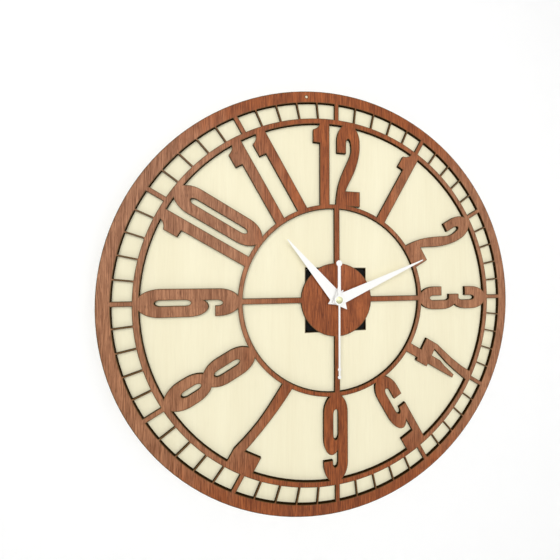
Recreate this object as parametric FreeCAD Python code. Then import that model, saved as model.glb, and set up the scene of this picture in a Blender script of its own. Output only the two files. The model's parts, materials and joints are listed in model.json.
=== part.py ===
import FreeCAD
import Part
import math
import os
from FreeCAD import Vector

# Wooden wall clock: a laser-cut fretwork dial on a round backing panel, a quartz movement and three hands.
# Every piece is drawn as seen from the front: X to the right, Y up, Z from the wall to the viewer.
# The export turns it upright: Z up, the dial facing -Y, and the wall plane through the origin.

# Dial sheets, in millimetres
dial_diameter = 381.0
rim_width = 10.0
minute_track_width = 14.5
numeral_ring_width = 4.7
numeral_band_width = 73.9
inner_ring_width = 4.0
centre_disc_diameter = 66.8
fretwork_thickness = 3.0
backing_thickness = 6.0
hour_bar_width = 4.0
minute_bar_width = 1.4
minute_bars_per_hour = 5
hour_marks = 12
spoke_width = 5.0
spoke_count = 4
weld_depth = 2.3

# Index dowel through both sheets
dowel_diameter = 2.4
dowel_clearance = 0.05
dowel_angle = 8.85

# Numerals
numeral_stroke = 9.1
numeral_width = 22.8
numeral_round_height = 17.0
counter_round_height = 4.5
waist_round_height = 17.0
waist_lap = 6.5
belly_round_height = 14.5
flag_reach = 6.3

# Quartz movement case, and the room that the wheels need above and below the axis of the hands
gear_room_above = 26.6
gear_room_below = 10.4
case_wall = 1.4
case_back_thickness = 1.2
case_corner_radius = 2.0
case_cover_thickness = 1.0
cover_lip_depth = 1.0
cover_lip_thickness = 0.8
case_opening_margin = 1.0
gasket_thickness = 0.5
gasket_diameter = 20.0
partition_thickness = 1.2
play = 0.1

# Battery, a standard AA cell, and its bay
cell_diameter = 14.2
cell_length = 48.9
cell_nub_diameter = 5.5
cell_nub_length = 1.3
cell_edge_radius = 0.8
cell_side_gap = 0.4
cell_front_gap = 0.2
contact_thickness = 0.4
contact_width = 6.0
contact_gap = 0.2
contact_spring_reach = 2.4
contact_tail_width = 2.0
contact_foot_share = 0.38

# Bush, washer and nut that clamp the dial
bush_diameter = 7.0
bush_bore = 5.2
bush_flange_diameter = 10.0
bush_flange_thickness = 1.0
bush_thread_pitch = 0.75
bush_thread_depth = 0.35
washer_diameter = 10.0
washer_thickness = 0.3
nut_across_flats = 9.0
nut_thickness = 1.6
bush_reach = 0.4

# Wheels: tooth counts of the trains
rotor_teeth = 10
intermediate_teeth = 60
intermediate_pinion_teeth = 10
seconds_teeth = 50
seconds_pinion_teeth = 10
third_teeth = 75
third_pinion_teeth = 10
clutch_teeth = 80
cannon_teeth = 15
works_teeth = 45
works_pinion_teeth = 12
hour_teeth = 48
knob_teeth = 15
rotor_module = 0.25
seconds_module = 0.30
third_module = 0.25
works_module = 0.30
addendum_share = 0.75
dedendum_share = 1.05
tooth_thickness_share = 0.42
flank_angle = 20.0
wheel_thickness = 0.8
pinion_overlap = 0.3
layer_gap = 0.7
pivot_diameter = 1.0
pivot_clearance = 0.08
pivot_depth = 1.2
boss_wall = 0.9
boss_height = 1.4
plate_thickness = 0.8
end_gap = 0.3
intermediate_direction = 125.0
rotor_direction = 150.0
third_direction = 40.0
works_direction = 100.0
knob_direction = 80.0
high_post_direction = 60.0
works_stud_diameter = 1.6
works_hub_diameter = 2.9

# Nested pipes on the centre axis
minute_pipe_diameter = 3.2
minute_pipe_bore = 1.2
hour_pipe_diameter = 5.0
pipe_clearance = 0.1
clutch_flange_diameter = 7.0
clutch_flange_thickness = 0.3
clutch_play = 0.12

# Stepping motor
magnet_diameter = 5.6
magnet_thickness = 1.8
stator_gap = 0.5
stator_thickness = 1.2
stator_width = 3.5
coil_end_gap = 0.8
coil_diameter = 6.6
coil_flange_diameter = 7.2
coil_flange_thickness = 0.8
coil_core_width = 3.0
coil_body_diameter = 4.4
coil_wall_gap = 1.0
coil_right_gap = 3.0

# Circuit board
board_width = 6.0
board_height = 20.0
board_thickness = 1.0
board_standoff = 1.8
board_edge_gap = 0.4
crystal_diameter = 2.0
crystal_length = 6.0
chip_diameter = 5.0
chip_height = 1.2

# Posts inside the case
post_diameter = 3.0
post_pin_diameter = 1.6

# Setting knob
knob_diameter = 10.8
knob_thickness = 1.6
knob_inset = 0.2
knob_shaft_diameter = 2.5
knob_well_gap = 0.6
knob_well_wall = 1.2
knob_floor_thickness = 1.0
knob_grips = 18
knob_grip_depth = 0.5

# Wall hanger
hanger_width = 16.0
hanger_height = 9.0
hanger_thickness = 1.5
hanger_leg_length = 8.5
hanger_leg_thickness = 0.9
hanger_hole_diameter = 4.0
hanger_hole_height = 5.0

# Hands
hand_thickness = 0.4
hour_hand_length = 70.5
hour_hand_root_width = 11.2
minute_hand_length = 94.0
minute_hand_root_width = 9.6
hand_tip_width = 1.0
hand_shoulder = 5.0
hour_hand_barb_span = 19.0
minute_hand_barb_span = 22.0
hand_barb_lead = 3.7
hand_tail_length = 6.6
hand_gap = 0.6
collet_wall = 0.8
collet_height = 0.6
pipe_end_reach = 0.2
second_pointer_length = 69.7
second_pointer_width = 1.7
second_tip_diameter = 3.1
second_bead_diameter = 3.1
second_bead_distance = 61.3
second_tail_width = 2.7
second_tail_distance = 32.8
second_tail_diameter = 5.5
second_hub_diameter = 9.2
second_boss_diameter = 6.6
second_boss_rise = 0.8
second_tube_diameter = 2.2
hour_hand_angle = 40.7
minute_hand_angle = -66.7
second_hand_angle = 180.0

# How far a cutting shape runs past what it cuts
overrun = 1.0

# Radii of the dial, from the rim inwards
rim_radius = dial_diameter / 2
track_radius = rim_radius - rim_width
numeral_ring_radius = track_radius - minute_track_width
numeral_ring_bore = numeral_ring_radius - numeral_ring_width
inner_ring_radius = numeral_ring_bore - numeral_band_width
inner_ring_bore = inner_ring_radius - inner_ring_width
centre_disc_radius = centre_disc_diameter / 2
numeral_low = inner_ring_radius - weld_depth
numeral_high = numeral_ring_bore + weld_depth
numeral_height = numeral_high - numeral_low

# Heights above the wall, from the back of the case to the hands
first_wheel_height = case_back_thickness + boss_height + layer_gap + pinion_overlap
seconds_wheel_height = first_wheel_height + wheel_thickness + layer_gap
third_wheel_height = seconds_wheel_height + wheel_thickness + layer_gap
plate_height = third_wheel_height + wheel_thickness + layer_gap
plate_front = plate_height + plate_thickness
clutch_wheel_height = plate_front + layer_gap
works_wheel_height = clutch_wheel_height + wheel_thickness + layer_gap
hour_wheel_height = works_wheel_height + wheel_thickness + layer_gap
case_depth = hour_wheel_height + wheel_thickness + pinion_overlap + end_gap + bush_flange_thickness
case_front = case_depth + case_cover_thickness
dial_plane = case_front + gasket_thickness
backing_back = dial_plane - backing_thickness
dial_front = dial_plane + fretwork_thickness
washer_front = dial_front + washer_thickness
nut_front = washer_front + nut_thickness
bush_front = nut_front + bush_reach
hour_hand_height = bush_front + 2 * bush_reach
minute_hand_height = hour_hand_height + hand_thickness + hand_gap + collet_height
second_hand_height = minute_hand_height + hand_thickness + hand_gap + collet_height

# Case interior: the battery with its contacts sets the inside width
inner_width = contact_spring_reach + cell_length + cell_nub_length + contact_gap + contact_thickness
inner_right = inner_width / 2
inner_left = -inner_right
inner_top = gear_room_above
partition_top = -gear_room_below
bay_top = partition_top - partition_thickness
inner_bottom = bay_top - cell_diameter - 2 * cell_side_gap
case_top = inner_top + case_wall
case_sides = [inner_left - case_wall, inner_right + case_wall, inner_bottom - case_wall, case_top]
cell_axis_height = case_depth - cell_front_gap - cell_diameter / 2
cell_row = bay_top - cell_side_gap - cell_diameter / 2


# Plane outlines

def point(x, y, z=0.0):
    return Vector(x, y, z)


def polar(radius, angle):
    """Point at an angle in degrees, counter-clockwise from the right."""
    return point(radius * math.cos(math.radians(angle)), radius * math.sin(math.radians(angle)))


def disc(radius, centre=Vector()):
    return Part.Face(Part.Wire(Part.makeCircle(radius, centre)))


def ring(outer, inner, centre=Vector()):
    return disc(outer, centre).cut(disc(inner, centre))


def polygon(points):
    corners = [point(x, y) for x, y in points]
    return Part.Face(Part.makePolygon(corners + corners[:1]))


def block(left, right, low, high):
    return polygon([(left, low), (right, low), (right, high), (left, high)])


def joined(faces):
    return faces[0].multiFuse(faces[1:]).removeSplitter()


def turned(shape, angle, centre=Vector()):
    copy = shape.copy()
    copy.rotate(centre, Vector(0, 0, 1), angle)
    return copy


def moved(shape, x=0.0, y=0.0, z=0.0):
    copy = shape.copy()
    copy.translate(Vector(x, y, z))
    return copy


def fused(solids):
    return solids[0].multiFuse(solids[1:]).removeSplitter()


def raised(face, low, high):
    """Solid between two heights over a plane outline."""
    solids = moved(face, z=low).extrude(Vector(0, 0, high - low)).Solids
    return solids[0] if len(solids) == 1 else fused(solids)


def post(radius, low, high, centre=Vector()):
    return raised(disc(radius, centre), low, high)


def tube(outer, inner, low, high, centre=Vector()):
    return raised(ring(outer, inner, centre), low, high)


def domed(diameter, rise, base, centre=Vector()):
    """Cap of a ball that stands on a flat base."""
    radius = (diameter ** 2 / 4 + rise ** 2) / (2 * rise)
    ball = Part.makeSphere(radius, point(centre.x, centre.y, base + rise - radius))
    return ball.common(post(diameter / 2, base, base + rise, centre))


def strip(route, width):
    """Band of even width along straight runs, with round joints."""
    faces = []
    for (x1, y1), (x2, y2) in zip(route, route[1:]):
        run = math.hypot(x2 - x1, y2 - y1)
        side = point(-(y2 - y1) / run, (x2 - x1) / run) * (width / 2)
        ends = [point(x1, y1) + side, point(x1, y1) - side, point(x2, y2) - side, point(x2, y2) + side]
        faces.append(polygon([(p.x, p.y) for p in ends]))
    faces += [disc(width / 2, point(x, y)) for x, y in route[1:-1]]
    return joined(faces)


def half_ellipse(centre, low_or_high, half_width, height):
    """Upper or lower half of an upright ellipse, as one edge; height is negative for a lower half."""
    middle = point(centre, low_or_high - height)
    crown = point(centre, low_or_high)
    side = point(centre + half_width, middle.y)
    if abs(height) > half_width:
        curve, start = Part.Ellipse(crown, side, middle), -90.0
    else:
        curve, start = Part.Ellipse(side, crown, middle), 0.0
    return Part.ArcOfEllipse(curve, math.radians(start), math.radians(start + 180.0)).toShape()


most_round_share = 0.98


def bowl(centre, half_width, low, high, low_round, high_round):
    """Upright bar with a half ellipse at each end; a round of zero leaves that end square."""
    most_round = most_round_share * (high - low)
    if low_round + high_round > most_round:
        shrink = most_round / (low_round + high_round)
        low_round, high_round = shrink * low_round, shrink * high_round
    left, right = centre - half_width, centre + half_width
    corners = [point(left, low + low_round), point(right, low + low_round)]
    corners += [point(right, high - high_round), point(left, high - high_round)]
    edges = [Part.makeLine(corners[1], corners[2]), Part.makeLine(corners[3], corners[0])]
    foot = half_ellipse(centre, low, half_width, -low_round) if low_round else Part.makeLine(*corners[:2])
    head = half_ellipse(centre, high, half_width, high_round) if high_round else Part.makeLine(*corners[2:])
    edges += [foot, head]
    return Part.Face(Part.Wire(Part.__sortEdges__(edges)))


def smooth(points):
    curve = Part.BSplineCurve()
    curve.interpolate(points)
    return curve.toShape()


# Numerals: heights and widths are shares of the numeral's height, from its foot and its middle line

def level(share):
    return numeral_low + share * numeral_height


def glyph_point(width_share, height_share):
    return point(width_share * numeral_height, level(height_share))


bowl_half = numeral_width / 2
counter_half = bowl_half - numeral_stroke
eye_low_share = 0.172
eye_high_share = 0.827


def full_bowl():
    return bowl(0.0, bowl_half, numeral_low, numeral_high, numeral_round_height, numeral_round_height)


def eye(low_share, high_share, centre=0.0):
    low, high = level(low_share), level(high_share)
    return bowl(centre, counter_half, low, high, counter_round_height, counter_round_height)


def digit_zero():
    return full_bowl().cut(eye(eye_low_share, eye_high_share))


def digit_one():
    flag_low_share, flag_high_share, flag_top_share = 0.738, 0.886, 0.962
    sweep_share, sweep_height_share = 0.41, 0.912
    left = -numeral_stroke / 2
    tip = point(left - flag_reach, level(flag_high_share))
    heel = point(left - flag_reach, level(flag_low_share))
    top = point(left, level(flag_top_share))
    root = point(left, level(flag_low_share))
    sweep = point(left - flag_reach * sweep_share, level(sweep_height_share))
    edges = [Part.Arc(tip, sweep, top).toShape(), Part.makeLine(top, root), Part.makeLine(root, heel)]
    flag = Part.Face(Part.Wire(Part.__sortEdges__(edges + [Part.makeLine(heel, tip)])))
    return joined([block(left, -left, numeral_low, numeral_high), flag])


def digit_two():
    back_shares = [(0.143, 0.693), (0.118, 0.559), (0.070, 0.419), (0.010, 0.298), (-0.037, 0.194)]
    front_shares = [
        (-0.158, 0.015), (-0.148, 0.152), (-0.118, 0.292), (-0.071, 0.419), (-0.013, 0.546), (0.024, 0.636)]
    hook_low_share, foot_right_share, eye_top_share = 0.643, 0.143, 0.820
    shoulder = numeral_high - numeral_round_height
    eye_top = level(eye_top_share)
    eye_shoulder = eye_top - counter_round_height
    foot_left = glyph_point(*front_shares[0])
    foot_corner = point(foot_right_share * numeral_height, foot_left.y)
    foot_top = glyph_point(foot_right_share, back_shares[-1][1])
    hook_left = point(-bowl_half, level(hook_low_share))
    hook_right = point(-counter_half, level(hook_low_share))
    back = [point(bowl_half, shoulder)] + [glyph_point(*pair) for pair in back_shares]
    front = [glyph_point(*pair) for pair in front_shares] + [point(counter_half, eye_shoulder)]
    edges = [half_ellipse(0.0, numeral_high, bowl_half, numeral_round_height), smooth(back)]
    edges += [Part.makeLine(back[-1], foot_top), Part.makeLine(foot_top, foot_corner)]
    edges += [Part.makeLine(foot_corner, foot_left), smooth(front)]
    edges.append(half_ellipse(0.0, eye_top, counter_half, counter_round_height))
    hook = [point(-counter_half, eye_shoulder), hook_right, hook_left, point(-bowl_half, shoulder)]
    edges += [Part.makeLine(start, end) for start, end in zip(hook, hook[1:])]
    return Part.Face(Part.Wire(Part.__sortEdges__(edges)))


def two_storeys(waist_share):
    low, high = level(waist_share) - waist_lap / 2, level(waist_share) + waist_lap / 2
    upper = bowl(0.0, bowl_half, low, numeral_high, waist_round_height, numeral_round_height)
    lower = bowl(0.0, bowl_half, numeral_low, high, numeral_round_height, waist_round_height)
    return joined([upper, lower])


def digit_three():
    window_low_share, bar_low_share, bar_high_share, window_high_share = 0.324, 0.434, 0.582, 0.678
    bar_end_share, lower_eye_share, upper_eye_share, waist_share = -0.047, 0.152, 0.820, 0.517
    outside = -bowl_half - overrun
    bar_end = bar_end_share * numeral_height
    cuts = [block(outside, bar_end, level(window_low_share), level(window_high_share))]
    cuts.append(block(outside, 0.0, level(window_low_share), level(bar_low_share)))
    cuts.append(block(outside, 0.0, level(bar_high_share), level(window_high_share)))
    cuts += [eye(lower_eye_share, bar_low_share), eye(bar_high_share, upper_eye_share)]
    return two_storeys(waist_share).cut(joined(cuts))


def digit_four():
    corner_shares = [
        (-0.069, 1.000), (-0.075, 0.827), (-0.097, 0.648), (-0.125, 0.508), (-0.155, 0.375), (-0.154, 0.196),
        (0.004, 0.196), (0.004, 0.000), (0.120, 0.000), (0.120, 0.196), (0.158, 0.196), (0.158, 0.367),
        (0.120, 0.367), (0.120, 0.776), (0.075, 0.776), (0.036, 0.597), (0.005, 0.508), (0.005, 0.367),
        (-0.082, 0.367), (-0.008, 0.617), (0.029, 0.801), (0.059, 1.000)]
    corners = [glyph_point(*pair) for pair in corner_shares]
    return polygon([(corner.x, corner.y) for corner in corners])


def digit_five():
    column_left_share, column_right_share, column_low_share = -0.134, -0.039, 0.457
    block_right_share, block_low_share, hook_high_share = 0.138, 0.808, 0.332
    belly_centre_share, belly_low_share, belly_high_share = 0.037, 0.250, 0.706
    eye_centre_share, eye_low, eye_high = -0.003, 0.164, 0.527
    column_left = column_left_share * numeral_height
    belly_centre = belly_centre_share * numeral_height
    eye_centre = eye_centre_share * numeral_height
    low_part = bowl(0.0, bowl_half, numeral_low, level(hook_high_share), numeral_round_height, 0.0)
    belly = bowl(belly_centre, bowl_half - belly_centre, level(belly_low_share), level(belly_high_share),
                 0.0, numeral_round_height)
    column = block(column_left, column_right_share * numeral_height, level(column_low_share), numeral_high)
    top = block(column_left, block_right_share * numeral_height, level(block_low_share), numeral_high)
    gap = block(-bowl_half - overrun, eye_centre, level(hook_high_share), level(column_low_share))
    return joined([low_part, belly, column, top]).cut(joined([gap, eye(eye_low, eye_high, eye_centre)]))


def hooked_bowl(hook_share, bowl_share, low_eye_share, high_eye_share, counter_share):
    """The six, and the nine when turned over."""
    split_share, ring_left_share, ring_low_share, slot_left_share = 0.62, -0.059, 0.30, -0.024
    ring_left = ring_left_share * numeral_height
    slot_left = slot_left_share * numeral_height
    ring_centre = (ring_left + bowl_half) / 2
    ring_low, ring_high = level(ring_low_share), level(bowl_share)
    body = full_bowl().cut(eye(split_share, counter_share, slot_left + counter_half))
    body = body.cut(block(slot_left, bowl_half + overrun, ring_high - belly_round_height, level(hook_share)))
    belly = bowl(ring_centre, bowl_half - ring_centre, ring_low, ring_high, 0.0, belly_round_height)
    return joined([body, belly]).cut(eye(low_eye_share, high_eye_share))


def digit_six():
    return hooked_bowl(
        hook_share=0.750, bowl_share=0.687, low_eye_share=0.176, high_eye_share=0.521, counter_share=0.831)


def digit_seven():
    back_shares = [
        (0.157, 0.827), (0.104, 0.648), (0.070, 0.496), (0.051, 0.355), (0.038, 0.190), (0.028, 0.0)]
    front_shares = [(-0.098, 0.0), (-0.066, 0.317), (-0.019, 0.572), (0.036, 0.805)]
    half = back_shares[0][0] * numeral_height
    back = [glyph_point(*pair) for pair in back_shares]
    front = [glyph_point(*pair) for pair in front_shares]
    top = [point(-half, front[-1].y), point(-half, numeral_high), point(half, numeral_high)]
    edges = [smooth(back), smooth(front), Part.makeLine(back[-1], front[0]), Part.makeLine(front[-1], top[0])]
    edges += [Part.makeLine(top[0], top[1]), Part.makeLine(top[1], top[2]), Part.makeLine(top[2], back[0])]
    return Part.Face(Part.Wire(Part.__sortEdges__(edges)))


def digit_eight():
    lower_eye_high_share, upper_eye_low_share, waist_share = 0.461, 0.614, 0.541
    eyes = [eye(eye_low_share, lower_eye_high_share), eye(upper_eye_low_share, eye_high_share)]
    return two_storeys(waist_share).cut(joined(eyes))


def digit_nine():
    middle = point(0.0, (numeral_low + numeral_high) / 2)
    six = hooked_bowl(
        hook_share=0.743, bowl_share=0.680, low_eye_share=0.167, high_eye_share=0.508, counter_share=0.819)
    return turned(six, 180.0, middle)


def numerals():
    """Each hour's digits with their sideways places, as shares of the numeral's height."""
    one, two = digit_one(), digit_two()
    placed_shares = [
        [(one, 0.008)], [(two, 0.043)], [(digit_three(), 0.005)],
        [(digit_four(), 0.0)], [(digit_five(), 0.014)], [(digit_six(), 0.020)],
        [(digit_seven(), 0.064)], [(digit_eight(), 0.008)], [(digit_nine(), 0.0)],
        [(one, -0.138), (digit_zero(), 0.134)], [(one, -0.129), (one, 0.162)], [(one, -0.146), (two, 0.146)]]
    step = 360.0 / hour_marks
    placed = []
    for hour, digits in enumerate(placed_shares, start=1):
        placed += [turned(moved(digit, share * numeral_height), -step * hour) for digit, share in digits]
    return placed


# Dial pieces

dowel_place = polar(rim_radius - rim_width / 2, 90.0 + dowel_angle)


def dowel_hole():
    return disc(dowel_diameter / 2 + dowel_clearance, dowel_place)


def front_fretwork():
    pieces = [ring(rim_radius, track_radius), ring(numeral_ring_radius, numeral_ring_bore)]
    pieces += [ring(inner_ring_radius, inner_ring_bore), disc(centre_disc_radius)]
    spoke_low, spoke_high = centre_disc_radius - weld_depth, inner_ring_bore + weld_depth
    spoke = block(-spoke_width / 2, spoke_width / 2, spoke_low, spoke_high)
    pieces += [turned(spoke, 360.0 / spoke_count * index) for index in range(spoke_count)]
    bar_count = hour_marks * minute_bars_per_hour
    for index in range(bar_count):
        width = minute_bar_width if index % minute_bars_per_hour else hour_bar_width
        bar = block(-width / 2, width / 2, numeral_ring_radius - weld_depth, track_radius + weld_depth)
        pieces.append(turned(bar, 360.0 / bar_count * index))
    sheet = joined(pieces + numerals())
    sheet = sheet.cut(disc(bush_diameter / 2 + play)).cut(dowel_hole())
    return raised(sheet, dial_plane, dial_front)


def backing_panel():
    left, right, low, high = case_sides
    margin = case_opening_margin
    panel = disc(rim_radius).cut(block(left - margin, right + margin, low - margin, high + margin))
    return raised(panel.cut(dowel_hole()), backing_back, dial_plane)


def index_dowel():
    return post(dowel_diameter / 2, backing_back, dial_front, dowel_place)


# Where the axes of the wheels stand

def spaced(centre, direction, module, teeth, mate_teeth):
    return centre + polar(module * (teeth + mate_teeth) / 2, direction)


centre_axis = Vector()
intermediate_axis = spaced(
    centre_axis, intermediate_direction, seconds_module, intermediate_pinion_teeth, seconds_teeth)
rotor_axis = spaced(intermediate_axis, rotor_direction, rotor_module, rotor_teeth, intermediate_teeth)
third_axis = spaced(centre_axis, third_direction, third_module, seconds_pinion_teeth, third_teeth)
clutch_module = 2 * (third_axis - centre_axis).Length / (third_pinion_teeth + clutch_teeth)
works_axis = spaced(centre_axis, works_direction, works_module, cannon_teeth, works_teeth)
knob_axis = spaced(works_axis, knob_direction, works_module, works_teeth, knob_teeth)
hour_module = 2 * (works_axis - centre_axis).Length / (works_pinion_teeth + hour_teeth)
pivot_radius = pivot_diameter / 2
pivot_hole = pivot_radius + pivot_clearance
pivot_low = case_back_thickness + boss_height - pivot_depth
pivot_high = case_depth - boss_height + pivot_depth


def meshed(phase, teeth, direction, mate_teeth):
    """Angle of a tooth of the mate, so that its gap faces a tooth of the first wheel."""
    return direction + 180.0 - (phase - direction) * teeth / mate_teeth + 180.0 / mate_teeth


def toothed(teeth, module, phase, centre):
    """Outline of a spur wheel: each tooth has its root, pitch and tip corners on both flanks."""
    pitch = teeth * module / 2
    tip = pitch + addendum_share * module
    root = pitch - dedendum_share * module
    lean = math.tan(math.radians(flank_angle)) * module
    half = math.pi / teeth * tooth_thickness_share
    flank = [
        (root, half + dedendum_share * lean / root), (pitch, half), (tip, half - addendum_share * lean / tip)]
    tooth = [(radius, -swing) for radius, swing in flank] + flank[::-1]
    corners = []
    for index in range(teeth):
        middle = math.radians(phase) + 2 * math.pi * index / teeth
        places = [centre + polar(radius, math.degrees(middle + swing)) for radius, swing in tooth]
        corners += [(place.x, place.y) for place in places]
    return polygon(corners)


def wheel(teeth, module, phase, centre, low):
    return raised(toothed(teeth, module, phase, centre), low, low + wheel_thickness)


def pinion(teeth, module, phase, centre, mate_low):
    """Pinion that reaches past both faces of the wheel that it drives."""
    low, high = mate_low - pinion_overlap, mate_low + wheel_thickness + pinion_overlap
    return raised(toothed(teeth, module, phase, centre), low, high)


intermediate_phase = meshed(0.0, rotor_teeth, rotor_direction + 180.0, intermediate_teeth)
seconds_phase = meshed(0.0, intermediate_pinion_teeth, intermediate_direction + 180.0, seconds_teeth)
third_phase = meshed(0.0, seconds_pinion_teeth, third_direction, third_teeth)
clutch_phase = meshed(0.0, third_pinion_teeth, third_direction + 180.0, clutch_teeth)
works_phase = meshed(0.0, cannon_teeth, works_direction, works_teeth)
hour_phase = meshed(0.0, works_pinion_teeth, works_direction + 180.0, hour_teeth)
knob_phase = meshed(works_phase, works_teeth, knob_direction, knob_teeth)


# Going train, from the rotor to the clutch wheel

def rotor_pinion():
    shaft = post(pivot_radius, pivot_low, plate_front, rotor_axis)
    return fused([shaft, pinion(rotor_teeth, rotor_module, 0.0, rotor_axis, first_wheel_height)])


def rotor_magnet():
    low = stator_height + stator_thickness / 2 - magnet_thickness / 2
    return tube(magnet_diameter / 2, pivot_radius, low, low + magnet_thickness, rotor_axis)


def intermediate_wheel():
    place = intermediate_axis
    return fused([
        post(pivot_radius, pivot_low, plate_front, place),
        wheel(intermediate_teeth, rotor_module, intermediate_phase, place, first_wheel_height),
        pinion(intermediate_pinion_teeth, seconds_module, 0.0, place, seconds_wheel_height)])


def seconds_wheel():
    return fused([
        post(pivot_radius, pivot_low, second_hand_height + hand_thickness),
        wheel(seconds_teeth, seconds_module, seconds_phase, centre_axis, seconds_wheel_height),
        pinion(seconds_pinion_teeth, third_module, 0.0, centre_axis, third_wheel_height)])


def third_wheel():
    return fused([
        post(pivot_radius, pivot_low, pivot_high, third_axis),
        wheel(third_teeth, third_module, third_phase, third_axis, third_wheel_height),
        pinion(third_pinion_teeth, clutch_module, 0.0, third_axis, clutch_wheel_height)])


def clutch_wheel():
    rim = wheel(clutch_teeth, clutch_module, clutch_phase, centre_axis, clutch_wheel_height)
    bore = disc(minute_pipe_diameter / 2 + pivot_clearance)
    return rim.cut(raised(bore, clutch_wheel_height, clutch_wheel_height + wheel_thickness))


# Motion work, from the cannon pinion to the hour hand and the setting knob

hour_pipe_bore = minute_pipe_diameter + 2 * pipe_clearance
hour_pipe_front = hour_hand_height + hand_thickness + pipe_end_reach
minute_pipe_front = minute_hand_height + hand_thickness + pipe_end_reach
clutch_spring_height = clutch_wheel_height - clutch_play - clutch_flange_thickness


def cannon_pinion():
    flange_low = clutch_wheel_height + wheel_thickness + clutch_play
    flange = post(clutch_flange_diameter / 2, flange_low, flange_low + clutch_flange_thickness)
    pipe = post(minute_pipe_diameter / 2, clutch_spring_height, minute_pipe_front)
    leaves = pinion(cannon_teeth, works_module, 0.0, centre_axis, works_wheel_height)
    bore = post(minute_pipe_bore / 2, clutch_spring_height, minute_pipe_front)
    return fused([pipe, flange, leaves]).cut(bore)


def clutch_spring():
    low, high = clutch_spring_height, clutch_spring_height + clutch_flange_thickness
    return tube(clutch_flange_diameter / 2, minute_pipe_diameter / 2, low, high)


def minute_works_wheel():
    high = hour_wheel_height + wheel_thickness + pinion_overlap
    parts = [wheel(works_teeth, works_module, works_phase, works_axis, works_wheel_height)]
    parts.append(post(works_hub_diameter / 2, works_wheel_height, hour_wheel_height, works_axis))
    parts.append(pinion(works_pinion_teeth, hour_module, 0.0, works_axis, hour_wheel_height))
    bore = post(works_stud_diameter / 2 + pivot_clearance, works_wheel_height, high, works_axis)
    return fused(parts).cut(bore)


def hour_wheel():
    rim = wheel(hour_teeth, hour_module, hour_phase, centre_axis, hour_wheel_height)
    pipe = post(hour_pipe_diameter / 2, hour_wheel_height, hour_pipe_front)
    return fused([rim, pipe]).cut(post(hour_pipe_bore / 2, hour_wheel_height, hour_pipe_front))


def setting_knob():
    low, high = knob_inset, knob_inset + knob_thickness
    shaft_high = works_wheel_height - pinion_overlap
    face = disc(knob_diameter / 2, knob_axis)
    for index in range(knob_grips):
        grip = knob_axis + polar(knob_diameter / 2, 360.0 / knob_grips * index)
        face = face.cut(disc(knob_grip_depth, grip))
    return fused([
        raised(face, low, high),
        post(knob_shaft_diameter / 2, high, shaft_high, knob_axis),
        pinion(knob_teeth, works_module, knob_phase, knob_axis, works_wheel_height),
        post(pivot_radius, shaft_high, pivot_high, knob_axis)])


# Stepping motor and circuit

stator_height = first_wheel_height + wheel_thickness + pinion_overlap + layer_gap
core_low = stator_height + stator_thickness
coil_row = inner_top - coil_wall_gap - coil_flange_diameter / 2
coil_left = inner_left + coil_wall_gap
coil_right = -coil_right_gap
left_arm = coil_left + stator_width / 2
right_arm = coil_right - stator_width / 2
coil_length = right_arm - left_arm - stator_width - 2 * coil_end_gap
coil_posts = [point(x, coil_row) for x in (left_arm, right_arm)]


def stator():
    hole = magnet_diameter / 2 + stator_gap
    yoke = disc(hole + stator_width / 2, rotor_axis)
    top = coil_row + coil_core_width / 2
    low = rotor_axis.y - stator_width / 2
    left = block(left_arm - stator_width / 2, left_arm + stator_width / 2, low, top)
    right = block(right_arm - stator_width / 2, right_arm + stator_width / 2, low, top)
    bar = block(left_arm, right_arm, low, rotor_axis.y + stator_width / 2)
    pins = [disc(post_pin_diameter / 2, place) for place in coil_posts]
    face = joined([yoke, left, right, bar]).cut(disc(hole, rotor_axis)).cut(joined(pins))
    return raised(face, stator_height, core_low)


def coil_core():
    face = block(coil_left, coil_right, coil_row - coil_core_width / 2, coil_row + coil_core_width / 2)
    pins = [disc(post_pin_diameter / 2, place) for place in coil_posts]
    return raised(face.cut(joined(pins)), core_low, core_low + stator_thickness)


coil_middle = (left_arm + right_arm) / 2
coil_axis_height = core_low + stator_thickness / 2


def coil_round(radius, length):
    start = Vector(coil_middle - length / 2, coil_row, coil_axis_height)
    return Part.makeCylinder(radius, length, start, Vector(1, 0, 0))


def coil_bobbin():
    flange_step = (coil_length - coil_flange_thickness) / 2
    flange = coil_round(coil_flange_diameter / 2, coil_flange_thickness)
    body = coil_round(coil_body_diameter / 2, coil_length)
    parts = [body, moved(flange, -flange_step), moved(flange, flange_step)]
    slot = block(coil_left, coil_right, coil_row - coil_core_width / 2, coil_row + coil_core_width / 2)
    return fused(parts).cut(raised(slot, core_low, core_low + stator_thickness))


def coil_winding():
    length = coil_length - 2 * coil_flange_thickness
    return coil_round(coil_diameter / 2, length).cut(coil_round(coil_body_diameter / 2, length))


board_right = inner_right - board_edge_gap
board_left = board_right - board_width
board_top = inner_top - board_edge_gap
board_bottom = board_top - board_height
board_back = case_back_thickness + board_standoff
board_front = board_back + board_thickness
board_middle = (board_left + board_right) / 2


def circuit_board():
    return raised(block(board_left, board_right, board_bottom, board_top), board_back, board_front)


def quartz_crystal():
    low_share = 0.12
    start = Vector(board_middle, board_bottom + board_height * low_share, board_front + crystal_diameter / 2)
    can = Part.makeCylinder(crystal_diameter / 2, crystal_length, start, Vector(0, 1, 0))
    return can.makeFillet(crystal_diameter / 6, [can.Edges[0]])


def chip_dome():
    high_share = 0.68
    place = point(board_middle, board_bottom + board_height * high_share)
    return domed(chip_diameter, chip_height, board_front, place)


# Battery and its contacts

contact_low = cell_axis_height - contact_width / 2
contact_high = cell_axis_height + contact_width / 2
plus_face = inner_right - contact_thickness
cell_nub_end = plus_face - contact_gap
cell_shoulder = cell_nub_end - cell_nub_length
cell_bottom = cell_shoulder - cell_length
spring_crest = cell_bottom - contact_gap
contact_foot = cell_row - cell_diameter * contact_foot_share
tail_low = case_back_thickness + play
tail_high = tail_low + contact_tail_width


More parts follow.
